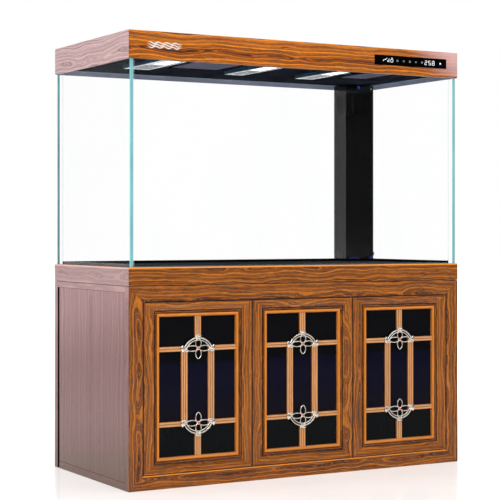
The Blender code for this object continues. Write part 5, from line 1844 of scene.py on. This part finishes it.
def digit_boxes(digit, x, z, front, back):
    """The lit strokes of a seven-stroke digit at a corner (x, z), as boxes with small gaps between them."""
    wide, tall, stroke = 0.0125, 0.0176, 0.0017
    gap = stroke * 0.25
    bars = {
        "a": ((0, tall - stroke), (wide, tall)),
        "g": ((0, (tall - stroke) / 2), (wide, (tall + stroke) / 2)),
        "d": ((0, 0), (wide, stroke)),
        "f": ((0, tall / 2), (stroke, tall)),
        "b": ((wide - stroke, tall / 2), (wide, tall)),
        "e": ((0, 0), (stroke, tall / 2)),
        "c": ((wide - stroke, 0), (wide, tall / 2)),
    }
    boxes = []
    for letter in STROKES[digit]:
        (x_low, z_low), (x_high, z_high) = bars[letter]
        trim_x, trim_z = (gap + stroke, 0) if letter in "agd" else (0, gap)
        low = (x + x_low + trim_x, front, z + z_low + trim_z)
        boxes.append((low, (x + x_high - trim_x, back, z + z_high - trim_z)))
    return boxes


class AQUARIUM_OT_control_panel(bpy.types.Operator):
    """Touch panel with lit digits and small symbols"""

    bl_idname = "aquarium.control_panel"
    bl_label = "Control Panel"

    def execute(self, context):
        low, high = span("control_panel")
        face = low[1] + 0.00025
        shells = Shells().add(cuboid((low[0], face, low[2]), (high[0], low[1] + FACE_BACK + 0.0022, high[2])))
        piece("control_plate", shells, ["panel_glass"], "canopy", ["control_panel"], 0.0002)
        front = low[1] + 0.00002
        back = face - 0.00003
        depth = (front + back) / 2
        thin = (back - front) / 2
        left = low[0]
        middle = (low[2] + high[2]) / 2
        bright, dim = Shells(), Shells()

        def lit_box(shells, x_low, z_low, x_high, z_high):
            """A flat box, placed from the panel's left end and middle height."""
            shells.add(cuboid((left + x_low, front, middle + z_low), (left + x_high, back, middle + z_high)))

        def lit_line(shells, path, half_width, closed=False):
            """A flat line, placed from the panel's left end and middle height."""
            shells.add(wire(np.array(path) + (left, middle), depth, half_width, thin, closed=closed))

        for number, digit in enumerate("258"):
            for box in digit_boxes(digit, left + 0.247 + 0.0185 * number, middle - 0.0088, front, back):
                bright.add(cuboid(*box))
        lit_box(bright, 0.323, -0.003, 0.329, 0.003)
        lit_line(bright, [(0.040, -0.005), (0.046, 0.003), (0.052, 0.001), (0.060, 0.009)], 0.0009)
        for number, tall in enumerate((0.006, 0.010, 0.014)):
            start = 0.062 + 0.004 * number
            lit_box(bright, start, -0.007, start + 0.0014, -0.007 + tall)
        turn = np.linspace(0, TAU, 24, endpoint=False)
        circle = np.stack([np.cos(turn), np.sin(turn)], axis=1)
        lit_line(bright, circle * (0.0055, 0.0065) + (0.084, -0.001), 0.0008, True)
        lit_line(bright, [(0.080, 0.008), (0.084, 0.0105), (0.089, 0.008)], 0.0008)
        for number in range(5):
            start = 0.112 + 0.0305 * number
            if number % 2 == 0:
                lit_line(dim, circle * 0.0034 + (start, 0), 0.0009, True)
            else:
                lit_box(dim, start - 0.004, 0.0012, start + 0.004, 0.0028)
                lit_box(dim, start - 0.004, -0.0028, start + 0.004, -0.0012)
        piece("control_digits", bright, ["lit_mark"], "canopy")
        piece("control_symbols", dim, ["dim_mark"], "canopy")
        return {"FINISHED"}


class AQUARIUM_OT_badge(bpy.types.Operator):
    """Badge of three plain waves on the canopy's front"""

    bl_idname = "aquarium.badge"
    bl_label = "Wave Badge"

    def execute(self, context):
        low, high = span("canopy_shell")
        middle = high[2] - 0.051
        along = np.linspace(0, 1, 64)
        x = low[0] + 0.077 + 0.141 * along
        taper = np.clip(np.sin(math.pi * along) * 3.0, 0.25, 1.0)
        thick = (FACE_BACK - 0.0001) / 2
        pitch = 0.0078
        shells = Shells()
        for number in range(3):
            z = middle + pitch * (1 - number) + 0.0028 * np.sin(TAU * 4 * along + number)
            shells.add(wire(np.stack([x, z], 1), low[1] + 0.00005 + thick, 0.0022, thick, taper=taper))
        piece("canopy_badge", shells, ["badge_silver"], "canopy", smooth=60)
        return {"FINISHED"}


# ---------------------------------------------------------------- stage


class AQUARIUM_OT_stage(bpy.types.Operator):
    """Pale floor, white surroundings, soft lights and the camera"""

    bl_idname = "aquarium.stage"
    bl_label = "Stage"

    def execute(self, context):
        scene = context.scene
        mesh = bpy.data.meshes.new("stage_floor")
        reach = 30.0
        corners = [(-reach, -reach, 0), (reach, -reach, 0), (reach, reach, 0), (-reach, reach, 0)]
        mesh.from_pydata(corners, [], [(0, 1, 2, 3)])
        mesh.materials.append(finish("studio_floor"))
        floor = bpy.data.objects.new("stage_floor", mesh)
        scene.collection.objects.link(floor)

        world = bpy.data.worlds.new("studio")
        world.use_nodes = True
        make = Nodes(world.node_tree)
        rays = make.add("LightPath", output=None).outputs
        aim = make.add("SeparateXYZ", {0: make.add("TexCoord", output="Generated")}, output=None).outputs
        # Mirrored rays meet a dark room in front, a paler one behind and a bright ceiling.
        behind = make.step(aim["Y"], -0.5, 0.5, 0.06, 0.70)
        mirrored = make.math("MAXIMUM", behind, make.step(aim["Z"], 0.15, 0.75, 0.0, 1.1))
        bounces = make.math("ADD", rays["Glossy Depth"], rays["Diffuse Depth"])
        bounced = make.math("GREATER_THAN", bounces, 0.5)
        glossy = make.math("GREATER_THAN", rays["Glossy Depth"], 0.5)
        lit = make.add("Mix", {0: glossy, 2: 0.42, 3: mirrored})
        strength = make.add("Mix", {0: bounced, 2: 1.0, 3: lit})
        plain = world.node_tree.nodes["Background"]
        plain.inputs["Color"].default_value = (1, 1, 1, 1)
        world.node_tree.links.new(strength, plain.inputs["Strength"])
        scene.world = world

        self.light("key_softbox", (-2.6, -3.6, 3.4), (0, 0, 0.8), 3.2, 105)
        self.light("front_fill", (2.8, -4.2, 2.2), (0, 0, 0.9), 3.0, 45).visible_glossy = False
        self.light("left_fill", (-4.6, 0.4, 2.6), (0, 0, 0.9), 3.0, 45)
        self.light("top_softbox", (0.3, 0.2, 4.6), (0, 0, 0.8), 3.5, 70)

        lens = bpy.data.cameras.new("camera")
        lens.lens = 108.5
        lens.sensor_width = 36
        lens.shift_y = -0.0377
        lens.clip_end = 200
        camera = bpy.data.objects.new("camera", lens)
        camera.location = (-3.09425, -5.3388, 0.95295)
        camera.rotation_euler = (math.pi / 2, 0, -0.519666)
        scene.collection.objects.link(camera)
        scene.camera = camera
        scene.view_settings.view_transform = "Standard"
        return {"FINISHED"}

    def light(self, name, place, target, size, power):
        """A square area light that looks at a point."""
        data = bpy.data.lights.new(name, "AREA")
        data.size = size
        data.energy = power
        lamp = bpy.data.objects.new(name, data)
        lamp.visible_camera = False
        lamp.visible_transmission = False
        lamp.location = place
        lamp.rotation_euler = (Vector(target) - Vector(place)).to_track_quat("-Z", "Y").to_euler()
        bpy.context.scene.collection.objects.link(lamp)
        return lamp


# ---------------------------------------------------------------- add-on

OPERATORS = (
    AQUARIUM_OT_stage,
    AQUARIUM_OT_face_frame,
    AQUARIUM_OT_top_band,
    AQUARIUM_OT_side_panels,
    AQUARIUM_OT_carcass,
    AQUARIUM_OT_door_frames,
    AQUARIUM_OT_door_bars,
    AQUARIUM_OT_ornaments,
    AQUARIUM_OT_door_fittings,
    AQUARIUM_OT_tank_panes,
    AQUARIUM_OT_tank_trim,
    AQUARIUM_OT_overflow,
    AQUARIUM_OT_sump,
    AQUARIUM_OT_canopy,
    AQUARIUM_OT_lids,
    AQUARIUM_OT_lamps,
    AQUARIUM_OT_control_panel,
    AQUARIUM_OT_badge,
)


class AQUARIUM_PT_sidebar(bpy.types.Panel):
    """Lists the pieces and their settings"""

    bl_idname = "AQUARIUM_PT_sidebar"
    bl_label = "Aquarium on Stand"
    bl_space_type = "VIEW_3D"
    bl_region_type = "UI"
    bl_category = "Aquarium"

    def draw(self, context):
        scene = context.scene
        for settings in (scene.aquarium_wood, scene.aquarium_glass, scene.aquarium_sizes):
            for key in settings.bl_rna.properties.keys():
                if key not in ("name", "rna_type"):
                    self.layout.prop(settings, key)
        for operator in OPERATORS:
            self.layout.operator(operator.bl_idname)


SETTINGS = {
    "aquarium_wood": AQUARIUM_PG_wood,
    "aquarium_glass": AQUARIUM_PG_glass,
    "aquarium_sizes": AQUARIUM_PG_sizes,
}
CLASSES = (*SETTINGS.values(), *OPERATORS, AQUARIUM_PT_sidebar)


def register():
    """Registers the classes and hangs their settings on the scene."""
    for cls in CLASSES:
        bpy.utils.register_class(cls)
    for key, group in SETTINGS.items():
        setattr(bpy.types.Scene, key, PointerProperty(type=group))


def unregister():
    """Takes the settings and the classes away again."""
    for key in SETTINGS:
        delattr(bpy.types.Scene, key)
    for cls in reversed(CLASSES):
        bpy.utils.unregister_class(cls)


def main():
    register()
    for operator in OPERATORS:
        group, name = operator.bl_idname.split(".")
        getattr(getattr(bpy.ops, group), name)()


if __name__ == "__main__":
    main()
